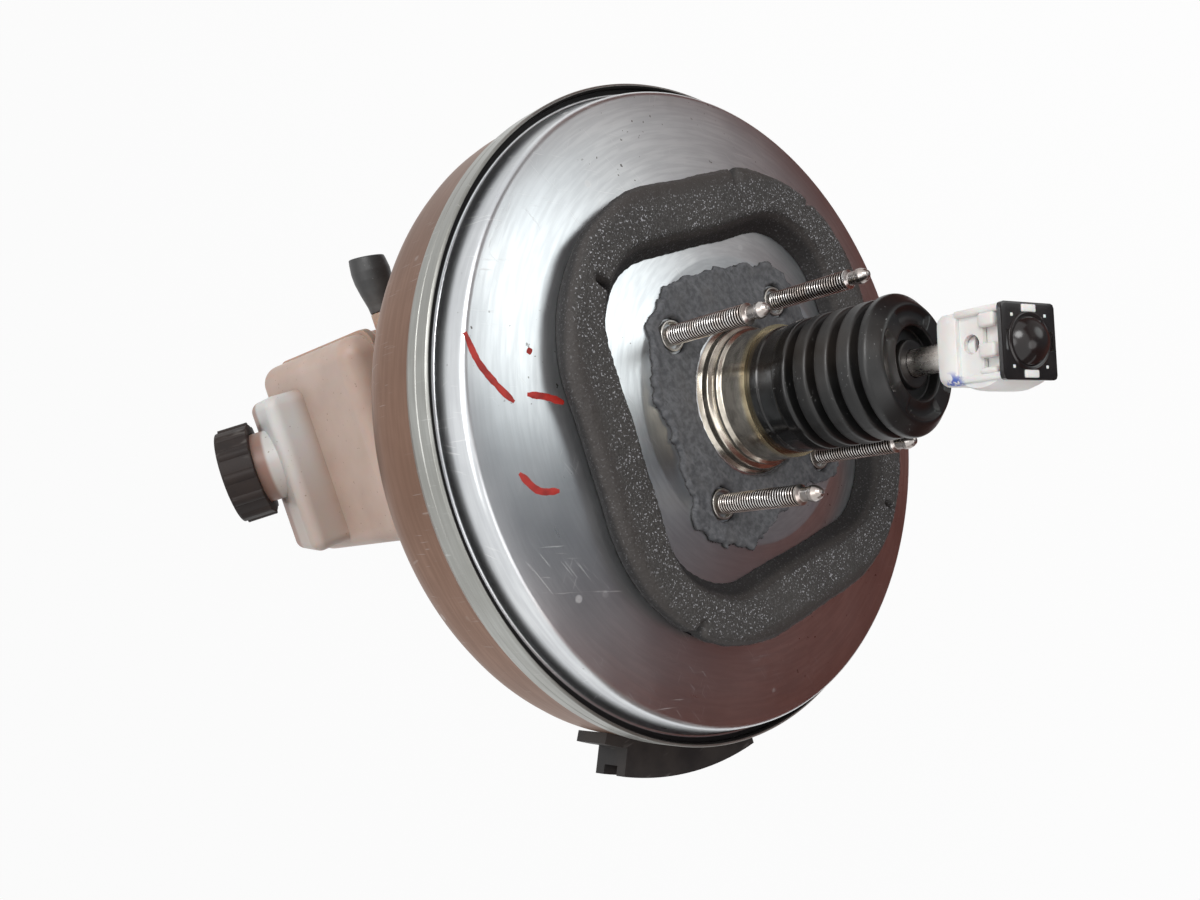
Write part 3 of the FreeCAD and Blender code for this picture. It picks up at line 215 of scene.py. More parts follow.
def pressed_steel(name, light, dark, marks=1.0, rough=0.20):
    """Bare pressed shell: fine turning rings, scuffs, water spots and specks, and painted shade in the groove
    where the rim meets the rear flange.
    """
    f = Finish(name)
    rings = f.noise(620.0, 3.0, f.turned())
    fine_rings = f.noise(2200.0, 1.0, f.turned(0.02))
    cloud = f.noise(13.0, 4.0, rough=0.6)
    haze = f.noise(38.0, 3.0)
    grain = f.noise(900.0, 2.0)
    cuts = f.scratches(23.0).at_least(f.scratches(71.0, 55.0, 1500.0, 0.71))
    cuts = cuts.at_least(f.scratches(-38.0, 90.0, 1900.0, 0.72)) * f.level(haze, 0.42, 0.6) * marks ** 2
    spots = f.level(f.cells(85.0), 0.16, 0.11) * f.level(f.noise(17.0, 1.0), 0.55, 0.62) * marks
    specks = f.level(f.noise(520.0, 1.0), 0.735, 0.76) * f.level(f.noise(11.0, 2.0), 0.5, 0.6) * marks
    f.colour = f.blend(f.level(cloud, 0.3, 0.7), dark, light)
    f.tint(f.level(rings, 0.35, 0.65) * 0.4, tuple(k * 0.85 for k in dark))
    f.tint(cuts * 0.5, grey(0.92))
    f.tint(spots * 0.45, grey(0.9))
    f.tint(specks * 0.85, (0.05, 0.035, 0.025))
    # Painted shade: the narrow groove between the rolled rim and the rear flange is painted near black
    groove = f.band(f.radius(), *SHADED_GROOVE_RADII) * f.band(f.y, *SHADED_GROOVE_DEPTHS)
    f.tint(groove * 0.97, (0.012, 0.010, 0.010))
    roughness = rough + cloud * 0.14 + rings * 0.08 + cuts * 0.12 + spots * 0.15 + groove * 0.4
    height = rings * 0.55 + fine_rings * 0.25 + grain * 0.12 - cuts * 0.4
    return f.finish(roughness, height, 0.018, metal=1.0)


def neck_steel():
    """Polished drawn neck with tarnish bands and a straw-coloured lip."""
    f = Finish("polished_neck")
    bands = f.noise(260.0, 2.0, f.join(f.y, f.angle() * 0.012, 0.0))
    stain = f.noise(60.0, 3.0, f.join(f.angle() * 0.02, f.y * 2.0, 0.0))
    lip = f.level(f.y, -0.0185, -0.0212)
    f.colour = f.blend(f.level(bands, 0.4, 0.62), (0.78, 0.72, 0.62), (0.50, 0.46, 0.40))
    f.tint(f.level(stain, 0.52, 0.68) * 0.5, (0.24, 0.20, 0.15))
    f.tint(lip, (0.92, 0.76, 0.48))
    roughness = 0.13 + bands * 0.1 + stain * 0.12
    return f.finish(roughness, bands * 0.5 + f.noise(1500.0, 1.0, f.turned()) * 0.3, 0.02, metal=1.0)


def metal(name, colour, dark, roughness, grain=500.0, relief=0.02, lengthwise=False):
    """Turned or plated metal with fine marks, stains and small wear."""
    f = Finish(name)
    marks = f.noise(grain, 3.0, f.join(f.x, f.y * 8.0, f.z) if lengthwise else f.turned())
    stain = f.noise(45.0, 4.0, rough=0.6)
    grit = f.noise(1800.0, 1.0)
    f.colour = f.blend(f.level(stain, 0.35, 0.7), colour, dark)
    f.tint(f.level(marks, 0.5, 0.75) * 0.3, dark)
    rough = roughness + marks * 0.14 + stain * 0.08
    return f.finish(rough, marks * 0.6 + grit * 0.3, relief, metal=1.0)


def stud_zinc():
    """Zinc-plated thread: bright crests, dull valleys with painted shade in them."""
    f = Finish("stud_zinc")
    off_x = f.math("ABSOLUTE", f.x) - STUD_X * MM
    off_z = f.math("ABSOLUTE", f.z) - STUD_Z * MM
    reach = (off_x * off_x + off_z * off_z) ** 0.5
    valley_shade = f.level(reach, 0.00390, 0.00362) * f.band(f.y, THREAD_END, THREAD_END + 0.0004, -0.0015, 0.0)
    stain = f.noise(120.0, 3.0)
    f.colour = f.blend(f.level(stain, 0.4, 0.65), (0.74, 0.72, 0.70), (0.60, 0.53, 0.48))
    f.tint(f.level(f.y, THREAD_END, THREAD_END - 0.0008) * 0.6, (0.34, 0.30, 0.28))
    # Painted shade: the thread valleys are painted near black
    f.tint(valley_shade, (0.012, 0.008, 0.007))
    return f.finish(0.22 + valley_shade * 0.4 + stain * 0.12, f.noise(2500.0, 1.0), 0.01, metal=1.0)


def cast_metal():
    f = Finish("sand_cast")
    skin = f.noise(650.0, 4.0, rough=0.65)
    dirt = f.noise(30.0, 4.0)
    f.colour = f.blend(f.level(dirt, 0.4, 0.7), (0.50, 0.50, 0.49), (0.30, 0.28, 0.26))
    return f.finish(0.42 + skin * 0.2, skin, 0.12, metal=1.0)


def foam_finish():
    """Open-cell foam: dark pores with bright glints on the cell walls."""
    f = Finish("charcoal_foam")
    pores = f.cells(950.0)
    webs = f.cells(520.0, "DISTANCE_TO_EDGE")
    cloud = f.noise(35.0, 3.0)
    glints = f.level(f.noise(1250.0, 1.0), 0.62, 0.69) * f.level(f.noise(50.0, 2.0), 0.20, 0.55)
    top = f.level(f.y, -0.0052, -0.0068)
    reach = ((f.x * 10.0) ** 4.0 + (f.z * 10.0) ** 4.0) ** 0.25
    skin = (1.0 - top).at_least(f.level(reach, 0.845, 0.885)).at_most(1.0)
    f.colour = f.blend(f.level(pores, 0.15, 0.6), (0.060, 0.058, 0.057), (0.020, 0.019, 0.019))
    f.tint(f.level(cloud, 0.35, 0.7) * 0.4, (0.056, 0.052, 0.049))
    f.tint(top * 0.3, (0.075, 0.068, 0.062))
    f.tint(skin * 0.75, (0.034, 0.028, 0.025))
    # Painted shadow: the lowest few millimetres of the foam, down against the shell, are painted near black
    f.tint(f.level(f.y, -0.0047, -0.0022) * 0.9, (0.006, 0.005, 0.005))
    glints = glints * (1.0 - skin * 0.85)
    f.tint(glints * 0.7, (0.50, 0.50, 0.53))
    height = pores * 0.6 + f.level(webs, 0.0, 0.2) * 0.2 + f.noise(420.0, 3.0) * 0.5
    return f.finish(0.86 - glints * 0.5 - skin * 0.2, height * (1.0 - skin * 0.6), 0.55)


def mastic_finish():
    """Dried putty: matt blue-grey, with fine wrinkles drawn one way."""
    f = Finish("dried_putty")
    along, across = f.slanted(35.0)
    wrinkles = f.noise(1.0, 3.0, f.join(along * 130.0, f.y * 130.0, across * 420.0), 0.6)
    rough = f.noise(420.0, 4.0, rough=0.6)
    lumps = f.noise(70.0, 3.0)
    edge = f.level(f.y, -0.0010, -0.0002)
    f.colour = f.blend(f.level(rough, 0.35, 0.68), (0.062, 0.064, 0.070), (0.118, 0.120, 0.128))
    f.tint(f.level(wrinkles, 0.52, 0.72) * 0.5, (0.17, 0.172, 0.18))
    f.tint(f.level(lumps, 0.5, 0.75) * 0.3, (0.10, 0.094, 0.09))
    # Painted shade: the putty's torn side wall, down against the shell, is painted dark
    f.tint(edge * 0.8, (0.025, 0.024, 0.024))
    return f.finish(0.58 + rough * 0.25, wrinkles * 0.7 + rough * 0.4 + lumps * 0.3, 0.45)


def rubber(name, tone, roughness, dust=0.3, brown=0.3, polished=None):
    """Moulded rubber with a little dust, faint brown bloom and, where asked, a polished band of depths."""
    f = Finish(name)
    film = f.noise(42.0, 4.0, rough=0.6)
    fleck = f.level(f.noise(900.0, 1.0), 0.7, 0.74) * f.level(f.noise(70.0, 2.0), 0.5, 0.65)
    skin = f.noise(1300.0, 2.0)
    f.colour = f.blend(f.level(film, 0.45, 0.75) * dust, grey(tone), (0.14, 0.135, 0.13))
    bloom = f.level(f.noise(22.0, 2.0), 0.5, 0.75) * brown
    f.tint(bloom, (0.075, 0.048, 0.03))
    f.tint(fleck * 0.5, grey(0.3))
    rough = roughness + film * 0.2
    if polished:
        low, high = polished
        rough = rough - f.band(f.y, low, low + MM, high - MM, high) * 0.18
    return f.finish(rough, skin, 0.02)


INK_PLACE = (-0.0090, -0.0995, 0.0150)


def nylon():
    """White moulded nylon with light soaking in and a smudge of blue ink."""
    f = Finish("white_nylon")
    cloud = f.noise(55.0, 3.0)
    from_ink = f.node("ShaderNodeVectorMath", {"operation": "DISTANCE"}, {0: f.place, 1: INK_PLACE}, 1)
    ink = f.level(from_ink, 0.0064, 0.003) * f.level(f.noise(330.0, 3.0), 0.46, 0.53)
    f.colour = f.blend(f.level(cloud, 0.35, 0.7), (0.84, 0.82, 0.80), (0.77, 0.73, 0.70))
    f.tint(ink * 0.9, (0.015, 0.09, 0.50))
    return f.finish(0.36 + cloud * 0.12, f.noise(700.0, 2.0), 0.012,
                    Subsurface_Weight=0.25, Subsurface_Scale=0.003)


def gloss_black():
    f = Finish("gloss_black")
    wipe = f.noise(90.0, 3.0)
    f.colour = f.blend(f.level(wipe, 0.4, 0.8), (0.012, 0.009, 0.009), (0.022, 0.016, 0.015))
    return f.finish(0.12 + wipe * 0.12, f.noise(500.0, 2.0), 0.006)


WELD_Z = 0.0875
FILLER_LEAN = math.radians(34.0)
FILLER_ROOT = (0.190, 0.114)


def tank_plastic():
    """Milky white tank plastic: tan base tones that are painted shade and painted warm reflection, a painted
    lit top on the upper block, a filler neck darkened partly by dirt and partly by painted shade and
    reflection, painted shade and reflection on the spout end, and grime along its weld.
    """
    f = Finish("milky_tank")
    cloud = f.noise(24.0, 4.0)
    streak = f.noise(1.0, 3.0, f.join(f.x * 90.0, f.y * 90.0, f.z * 14.0))
    weld = f.level(f.math("ABSOLUTE", f.z - WELD_Z), 0.0021, 0.0009)
    near_rear = f.level(f.y, 0.135, 0.1165)
    # Painted shade and painted warm reflection: the white plastic's base tones are a shaded tan-pink
    f.colour = f.blend(f.level(cloud, 0.3, 0.75), (0.50, 0.375, 0.315), (0.37, 0.255, 0.20))
    f.tint(f.level(streak, 0.58, 0.8) * 0.35, (0.38, 0.29, 0.24))
    # Painted light: the top of the upper block is painted pale, palest towards +X where the key lamp stands
    painted_lit_top = f.blend(f.level(f.x, 0.050, 0.005), (0.60, 0.60, 0.59), (0.43, 0.36, 0.32))
    f.tint(f.level(f.z, 0.101, 0.111) * f.level(f.y, 0.203, 0.190) * 0.9, painted_lit_top)
    # The filler neck is painted reddish brown: partly dirt, partly painted shade and reflection of red
    # surroundings
    root_y, root_z = FILLER_ROOT
    along = (f.y - root_y) * math.sin(FILLER_LEAN) + (f.z - root_z) * math.cos(FILLER_LEAN)
    f.tint(f.level(along, 0.0005, 0.0025) * 0.85, (0.25, 0.115, 0.075))
    # Painted shade and warm reflection on the tank's +X end and spout, which are the same white plastic
    f.tint(f.level(f.x, 0.072, 0.079) * 0.8, (0.42, 0.27, 0.19))
    f.tint(weld * near_rear * 0.75, (0.22, 0.15, 0.11))
    f.tint(f.level(f.noise(600.0, 1.0), 0.74, 0.77) * 0.7, (0.20, 0.14, 0.10))
    return f.finish(0.34 + cloud * 0.16, f.noise(240.0, 3.0), 0.03,
                    Subsurface_Weight=0.35, Subsurface_Scale=0.006)


def plastic(name, colour, dark, roughness, relief=0.03, shine=0.5):
    """Moulded hard plastic with faint clouding and rubbed marks."""
    f = Finish(name)
    cloud = f.noise(50.0, 4.0, rough=0.6)
    skin = f.noise(1100.0, 2.0)
    rub = f.level(f.noise(1.0, 2.0, f.join(f.x * 300.0, f.y * 60.0, f.z * 60.0)), 0.62, 0.72)
    f.colour = f.blend(f.level(cloud, 0.35, 0.7), colour, dark)
    f.tint(rub * 0.2, (0.3, 0.28, 0.26))
    return f.finish(roughness + cloud * 0.18, skin, relief, Specular_IOR_Level=shine)


def felt():
    f = Finish("filter_felt")
    hair = f.noise(900.0, 5.0, rough=0.7)
    f.colour = f.blend(f.level(hair, 0.3, 0.7), (0.50, 0.46, 0.39), (0.30, 0.27, 0.22))
    return f.finish(0.95, hair, 0.4)


def paint():
    """Thick red marker paint, a little uneven."""
    f = Finish("red_paint")
    run = f.noise(260.0, 3.0)
    f.colour = f.blend(f.level(run, 0.35, 0.7), (0.42, 0.020, 0.012), (0.27, 0.012, 0.008))
    return f.finish(0.4 + run * 0.2, run, 0.03)


FINISHES = {
    # The front pressing's tan-brown tones are bare steel with a painted warm reflection of red surroundings
    "shell_metal": pressed_steel("front_pressing", (0.27, 0.165, 0.120), (0.19, 0.108, 0.074), 0.5, 0.34),
    "rear_pressing": pressed_steel("rear_pressing", (0.80, 0.82, 0.83), (0.60, 0.62, 0.64)),
    "rolled_rim": pressed_steel("rolled_rim", (0.44, 0.45, 0.43), (0.30, 0.30, 0.28), 0.6, 0.26),
    "neck": neck_steel(),
    "stud": stud_zinc(),
    "rod": metal("rod_steel", (0.86, 0.84, 0.81), (0.58, 0.52, 0.47), 0.16, 300.0, 0.03),
    "zinc_steel": metal("zinc_plate", (0.62, 0.60, 0.56), (0.45, 0.42, 0.38), 0.24),
    "plain_steel": metal("turned_steel", (0.50, 0.48, 0.46), (0.30, 0.28, 0.26), 0.22),
    "spring_steel": metal("spring_wire", (0.32, 0.32, 0.33), (0.18, 0.17, 0.16), 0.3, 700.0, 0.02, True),
    "cast_aluminium": cast_metal(),
    "foam": foam_finish(),
    "mastic": mastic_finish(),
    "black_rubber": rubber("boot_rubber", 0.006, 0.26, 0.08, 0.2, (-0.0405, -0.022)),
    "soft_black_rubber": rubber("seal_rubber", 0.02, 0.5, 0.15, 0.1),
    "hose": rubber("hose_rubber", 0.030, 0.36, 0.3, 0.5),
    "white_nylon": nylon(),
    "gloss_black": gloss_black(),
    "tank_white": tank_plastic(),
    "cap_black": plastic("cap_plastic", (0.016, 0.011, 0.010), (0.027, 0.018, 0.015), 0.46, shine=0.25),
    "valve_brown": plastic("valve_resin", (0.11, 0.07, 0.045), (0.16, 0.11, 0.07), 0.4),
    "black_plastic": plastic("black_plastic", (0.022, 0.020, 0.020), (0.040, 0.034, 0.031), 0.46, shine=0.3),
    "mesh_white": plastic("strainer_plastic", (0.78, 0.78, 0.76), (0.68, 0.67, 0.64), 0.45),
    "felt": felt(),
    "paint": paint(),
}

for part in frame["record"]["subparts"]:
    materials = frame["nodes"][part["node"]].data.materials
    materials.clear()
    materials.append(FINISHES["rod" if part["node"] == "input_rod" else part["material_slot"]])


# Mesh helpers; all sizes from here on are in millimetres

def linked(name, data):
    """New object in the scene."""
    made = bpy.data.objects.new(name, data)
    bpy.context.collection.objects.link(made)
    return made


def add_piece(name, parts, finishes, replaced=(), sharp=32.0, body="housing"):
    """Object at the origin from parts in millimetres, riding on its body."""
    mesh = make_mesh(*parts)
    mesh.name = name
    for finish in finishes:
        mesh.materials.append(FINISHES[finish])
    mesh.polygons.foreach_set("use_smooth", [True] * len(mesh.polygons))
    mesh.set_sharp_from_angle(angle=math.radians(sharp))
    piece = linked(name, mesh)
    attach(piece, body)
    if replaced:
        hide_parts(*replaced)
    return piece


def make_mesh(*parts):
    """Mesh in metres from parts in millimetres, with doubles merged and faces turned outwards."""
    corners, faces, indices = merge(*parts)
    mesh = bpy.data.meshes.new("part")
    mesh.from_pydata([Vector(c) * MM for c in corners], [], faces)
    mesh.polygons.foreach_set("material_index", indices)
    work = bmesh.new()
    work.from_mesh(mesh)
    bmesh.ops.remove_doubles(work, verts=work.verts, dist=0.0005 * MM)
    bmesh.ops.recalc_face_normals(work, faces=work.faces)
    work.to_mesh(mesh)
    work.free()
    return mesh


def soften(points, radii, steps=5):
    """The path with its inner corners rounded; a corner with no radius stays sharp."""
    path = [points[0]]
    for i in range(1, len(points) - 1):
        before, corner, after = (Vector(points[i + k]) for k in (-1, 0, 1))
        back, onward = (before - corner).normalized(), (after - corner).normalized()
        radius = radii.get(i, 0)
        half = back.angle(onward) / 2
        if radius <= 0 or half > math.radians(89.5):
            path.append(points[i])
            continue
        reach = min(radius / math.tan(half), (before - corner).length * 0.49, (after - corner).length * 0.49)
        radius = reach * math.tan(half)
        first, last = corner + back * reach, corner + onward * reach
        centre = corner + (back + onward).normalized() * (radius / math.sin(half))
        sweep = (first - centre).angle_signed(last - centre)
        for step in range(steps + 1):
            turn = Matrix.Rotation(-sweep * step / steps, 2)
            path.append(tuple(centre + turn @ (first - centre)))
    path.append(points[-1])
    return path


def refine(path, longest):
    """The path with long runs divided."""
    fine = [path[0]]
    for start, end in zip(path, path[1:]):
        gap = math.dist(start, end)
        count = max(1, math.ceil(gap / longest))
        for step in range(1, count + 1):
            share = step / count
            fine.append((start[0] + (end[0] - start[0]) * share, start[1] + (end[1] - start[1]) * share))
    return fine


def offset(points, distance):
    """The path moved to its left, with mitred corners."""
    normals = []
    for start, end in zip(points, points[1:]):
        run = (Vector(end) - Vector(start)).normalized()
        normals.append(Vector((-run.y, run.x)))
    moved = [Vector(points[0]) + normals[0] * distance]
    for corner, before, after in zip(points[1:], normals, normals[1:]):
        moved.append(Vector(corner) + (before + after) * (distance / (1 + before.dot(after))))
    moved.append(Vector(points[-1]) + normals[-1] * distance)
    return [tuple(point) for point in moved]


def wall_outline(points, thickness, radii, longest):
    """Closed outline of a sheet: rounded outer path, then the inner path back."""
    inner_radii = {}
    for i, radius in radii.items():
        before = Vector(points[i]) - Vector(points[i - 1])
        after = Vector(points[i + 1]) - Vector(points[i])
        turn = before.x * after.y - before.y * after.x
        inner_radii[i] = max(radius - thickness if turn > 0 else radius + thickness, 0.1)
    outer = refine(soften(points, radii), longest)
    inner = refine(soften(offset(points, thickness), inner_radii), longest)
    return outer + inner[::-1]


def around(count):
    """Angles of a full turn in equal steps."""
    return [2 * math.pi * step / count for step in range(count)]


def ripple(spot, *waves):
    """Sum of noise waves, each given by its fineness and its size."""
    return sum(noise.noise(spot * fineness) * size for fineness, size in waves)


def ring_faces(rings, size, closed=True):
    """Faces between neighbouring rings of corners, where each ring is closed on itself."""
    faces = []
    for ring in range(rings if closed else rings - 1):
        base, after = ring * size, (ring + 1) % rings * size
        for i in range(size):
            onward = (i + 1) % size
            faces.append((base + i, base + onward, after + onward, after + i))
    return faces


def lathe(outline, steps=256, closed=True, pick=None, centre=(0.0, 0.0)):
    """Corners, faces and material indices of an outline turned about the Y axis."""
    corners = []
    for radius, depth in outline:
        for angle in around(steps):
            x, z = radius * math.cos(angle), radius * math.sin(angle)
            corners.append((centre[0] + x, depth, centre[1] + z))
    faces = ring_faces(len(outline), steps, closed)
    indices = [pick(outline[i // steps]) if pick else 0 for i in range(len(faces))]
    return corners, faces, indices


def merge(*parts):
    """Several parts as one; a part is corners and faces, and material indices where they aren't all 0."""
    corners, faces, indices = [], [], []
    for more_corners, more_faces, *more_indices in parts:
        base = len(corners)
        corners += more_corners
        faces += [tuple(i + base for i in face) for face in more_faces]
        indices += more_indices[0] if more_indices else [0] * len(more_faces)
    return corners, faces, indices


def bevelled_box(low, high, radius):
    """Box with rounded edges."""
    work = bmesh.new()
    bmesh.ops.create_cube(work, size=1.0)
    for vert in work.verts:
        vert.co = Vector([low[k] + (high[k] - low[k]) * (vert.co[k] + 0.5) for k in range(3)])
    bmesh.ops.bevel(work, geom=work.edges[:], offset=radius, segments=3, profile=0.5, affect="EDGES")
    work.verts.ensure_lookup_table()
    corners = [tuple(vert.co) for vert in work.verts]
    faces = [tuple(vert.index for vert in face.verts) for face in work.faces]
    work.free()
    return corners, faces


def square_reach(half, corner, angle):
    """Distance from the centre to a rounded square's outline at an angle."""
    c, s = abs(math.cos(angle)), abs(math.sin(angle))
    if c < s:
        c, s = s, c
    flat = half / c
    core = half - corner
    if flat * s <= core:
        return flat
    along = core * (c + s)
    return along + math.sqrt(max(along * along - 2 * core * core + corner * corner, 0.0))


# Rear pressing with its neck

REAR_PATH = [
    (26.7, -22.0), (26.7, -10.2), (28.1, -9.0), (28.1, -7.4), (27.5, -6.9), (27.5, -6.3), (29.6, -5.4),
    (29.6, -2.6), (31.2, -1.1), (34.2, 0.0), (60.0, 0.0), (75.0, 2.2), (133.0, 10.8), (135.6, 24.5),
    (138.6, 24.5),
]
REAR_ROUNDS = {1: 1.0, 2: 0.6, 3: 0.7, 4: 0.3, 5: 0.3, 6: 0.9, 7: 0.9, 8: 1.0, 9: 2.0, 10: 9.0, 11: 9.0,
               12: 3.0, 13: 1.0}
FACE = REAR_PATH[9:14]
SHEET = 1.8
POLISHED_RADIUS, POLISHED_DEPTH = 31.0, -0.9


def face_depth(radius):
    """Depth of the rear pressing's outer face at a radius."""
    for (r0, y0), (r1, y1) in zip(FACE, FACE[1:]):
        if radius <= r1:
            return y0 + (y1 - y0) * max(radius - r0, 0.0) / (r1 - r0)
    return FACE[-1][1]


rear_outline = wall_outline(REAR_PATH, SHEET, REAR_ROUNDS, 12.0)
rear_part = lathe(rear_outline, 320, pick=lambda at: int(at[0] < POLISHED_RADIUS and at[1] < POLISHED_DEPTH))
add_piece("rear_pressing", [rear_part], ["rear_pressing", "neck"], ["rear_shell"], 50.0)


# Front pressing with its rim and inlet boss

FRONT_PATH = [
    (138.9, 22.3), (139.6, 21.9), (140.6, 22.6), (140.6, 28.4), (140.25, 28.8), (140.6, 29.2), (140.6, 33.6),
    (139.0, 37.2), (139.0, 73.9), (60.0, 95.1), (54.0, 97.5), (20.1, 97.5),
]
FRONT_ROUNDS = {1: 0.4, 2: 0.5, 3: 0.15, 4: 0.15, 5: 0.15, 6: 1.2, 7: 2.0, 8: 26.0, 9: 8.0, 10: 2.0}
RIM_END = 35.5
BOSS_PLACE = (-70.0, -66.0)
front_inner = offset([(140.6, 22.3), *FRONT_PATH[6:]], SHEET)
front_outline = refine(soften(FRONT_PATH, FRONT_ROUNDS, 8), 14.0)
front_outline += refine(soften(front_inner, {1: 1.0, 2: 2.0, 3: 24.2, 4: 6.0, 5: 3.0}, 8), 14.0)[::-1]
boss_outline = soften([(10.0, 88.0), (10.0, 91.0), (17.0, 91.0), (17.0, 78.0)], {1: 0.6, 2: 2.2})
boss_outline += [(15.2, 78.0), (15.2, 89.2), (10.0, 89.2)]
front_parts = [lathe(front_outline, 320, pick=lambda at: int(at[1] < RIM_END)),
               lathe(boss_outline, 64, centre=BOSS_PLACE)]
add_piece("front_pressing", front_parts, ["shell_metal", "rolled_rim"], ["front_shell"], 40.0)


# Studs: the thread is cut by a node tree

STUD_PATH = [(0.0, 4.4), (4.0, 4.4), (4.0, -40.4), (2.7, -41.3), (2.7, -44.4), (3.1, -44.9), (3.1, -46.6),
             (2.4, -48.4), (1.5, -49.6), (0.7, -50.0), (0.0, -50.0)]
STUD_ROUNDS = {3: 0.3, 5: 0.2, 6: 0.8, 7: 0.8, 8: 0.6}


STUD_SPOTS = [(x, z) for x in (STUD_X, -STUD_X) for z in (STUD_Z, -STUD_Z)]
THREAD = {"Pitch": 1.25, "Depth": 0.72, "Start": -1.9, "End": -40.2}
THREADED_RADIUS = 0.0030
HEAD_PATH = [(4.0, 4.4), (8.0, 4.4), (8.0, 7.2), (0.01, 7.2)]
COLLAR_PATH = [(5.2, -0.02), (5.2, -1.8), (6.3, -1.8), (6.3, -0.02)]


def thread_tree():
    """Cuts a thread into a turned rod, from its pitch, depth, ends and axis."""
    group = bpy.data.node_groups.new("stud_thread", "GeometryNodeTree")
    for way in ("OUTPUT", "INPUT"):
        group.interface.new_socket("Geometry", in_out=way, socket_type="NodeSocketGeometry")
    for name in (*THREAD, "Centre X", "Centre Z"):
        group.interface.new_socket(name, in_out="INPUT", socket_type="NodeSocketFloat")
    tree = Tree(group)
    given = tree.outputs("NodeGroupInput")
    pitch = given["Pitch"]
    x, y, z = tree.split(tree.node("GeometryNodeInputPosition"))
    off_x, off_z = x - given["Centre X"], z - given["Centre Z"]
    turns = y / pitch + tree.math("ARCTAN2", off_z, off_x) / (2 * math.pi)
    groove = 1.0 - tree.math("PINGPONG", turns, 0.5) * 2.0
    from_start, from_end = (given["Start"] - y) / pitch, (y - given["End"]) / pitch
    cut = groove * from_start.at_most(from_end).at_least(0.0).at_most(1.0)
    radius = (off_x * off_x + off_z * off_z) ** 0.5
    push = cut * given["Depth"] * -1.0 / radius.at_least(0.001)
    push = push * tree.math("GREATER_THAN", radius, THREADED_RADIUS)
    shift = tree.join(off_x * push, 0.0, off_z * push)
    moved = tree.node("GeometryNodeSetPosition", None, {"Geometry": given["Geometry"], "Offset": shift})
    tree.node("NodeGroupOutput", None, {0: moved})
    return group


def evaluated(piece):
    """An object's shape after its modifiers, as a part; the object itself is removed."""
    graph = bpy.context.evaluated_depsgraph_get()
    mesh = bpy.data.meshes.new_from_object(piece.evaluated_get(graph))
    bpy.data.objects.remove(piece)
    return [tuple(vert.co / MM) for vert in mesh.vertices], [tuple(face.vertices) for face in mesh.polygons]


def threaded(x, z):
    """A stud's shaft with its thread, round an axis at x, z."""
    carrier = linked("carrier", make_mesh(lathe(stud_path, 28, False, centre=(x, z))))
    modifier = carrier.modifiers.new("thread", "NODES")
    modifier.node_group = thread_group
    values = {**THREAD, "Centre X": x, "Centre Z": z}
    for item in thread_group.interface.items_tree:
        if item.name in values:
            modifier[item.identifier] = values[item.name] * MM
    return evaluated(carrier)


thread_group = thread_tree()
stud_path = refine(soften(STUD_PATH, STUD_ROUNDS, 3), 0.14)
head_path = soften(HEAD_PATH, {1: 0.4, 2: 0.6})
collar_path = soften(COLLAR_PATH, {1: 0.25, 2: 0.45})
studs = [threaded(*spot) for spot in STUD_SPOTS]
studs += [lathe(head_path, 40, False, centre=spot) for spot in STUD_SPOTS]
add_piece("firewall_studs", studs, ["stud"], ["mounting_studs"], 40.0)
collars = [lathe(collar_path, 40, centre=spot) for spot in STUD_SPOTS]
add_piece("stud_rings", collars, ["zinc_steel"], ["stud_collars"], 40.0)


# Foam ring

FOAM_TOP = -7.0
FOAM_HALF, FOAM_CORNER = 93.0, 70.0
HOLE_HALF, HOLE_SLANT, HOLE_CORNER, HOLE_ROUNDING = 65.5, 7.0, 32.0, 5.0
# Place in degrees, cut edge (outer 1, inner -1, top 0), half width in radians and depth of each slit
FOAM_CUTS = [(-16.5, 1, 0.034, 8.5), (-44.9, 1, 0.026, 6.5), (46.8, -1, 0.030, 8.0), (136.6, 1, 0.030, 9.0),
             (-136.5, 0, 0.016, 5.0)]
# Shares of the way from the outer to the inner edge, and of the height
FOAM_SECTION = [(0.13, 0.0), (0.10, 0.15), (0.05, 0.3), (0.012, 0.44), (0.0, 0.56), (0.01, 0.68),
                (0.035, 0.79), (0.075, 0.88), (0.125, 0.95), (0.18, 0.985)]
FOAM_SECTION += [(0.24 + 0.70 * i / 10, 1.0) for i in range(11)]
FOAM_SECTION += [(0.975, 0.985)] + [(1.0, share) for share in (0.93, 0.75, 0.5, 0.25, 0.0)]
FOAM_SECTION += [(share, 0.0) for share in (0.8, 0.5, 0.3)]


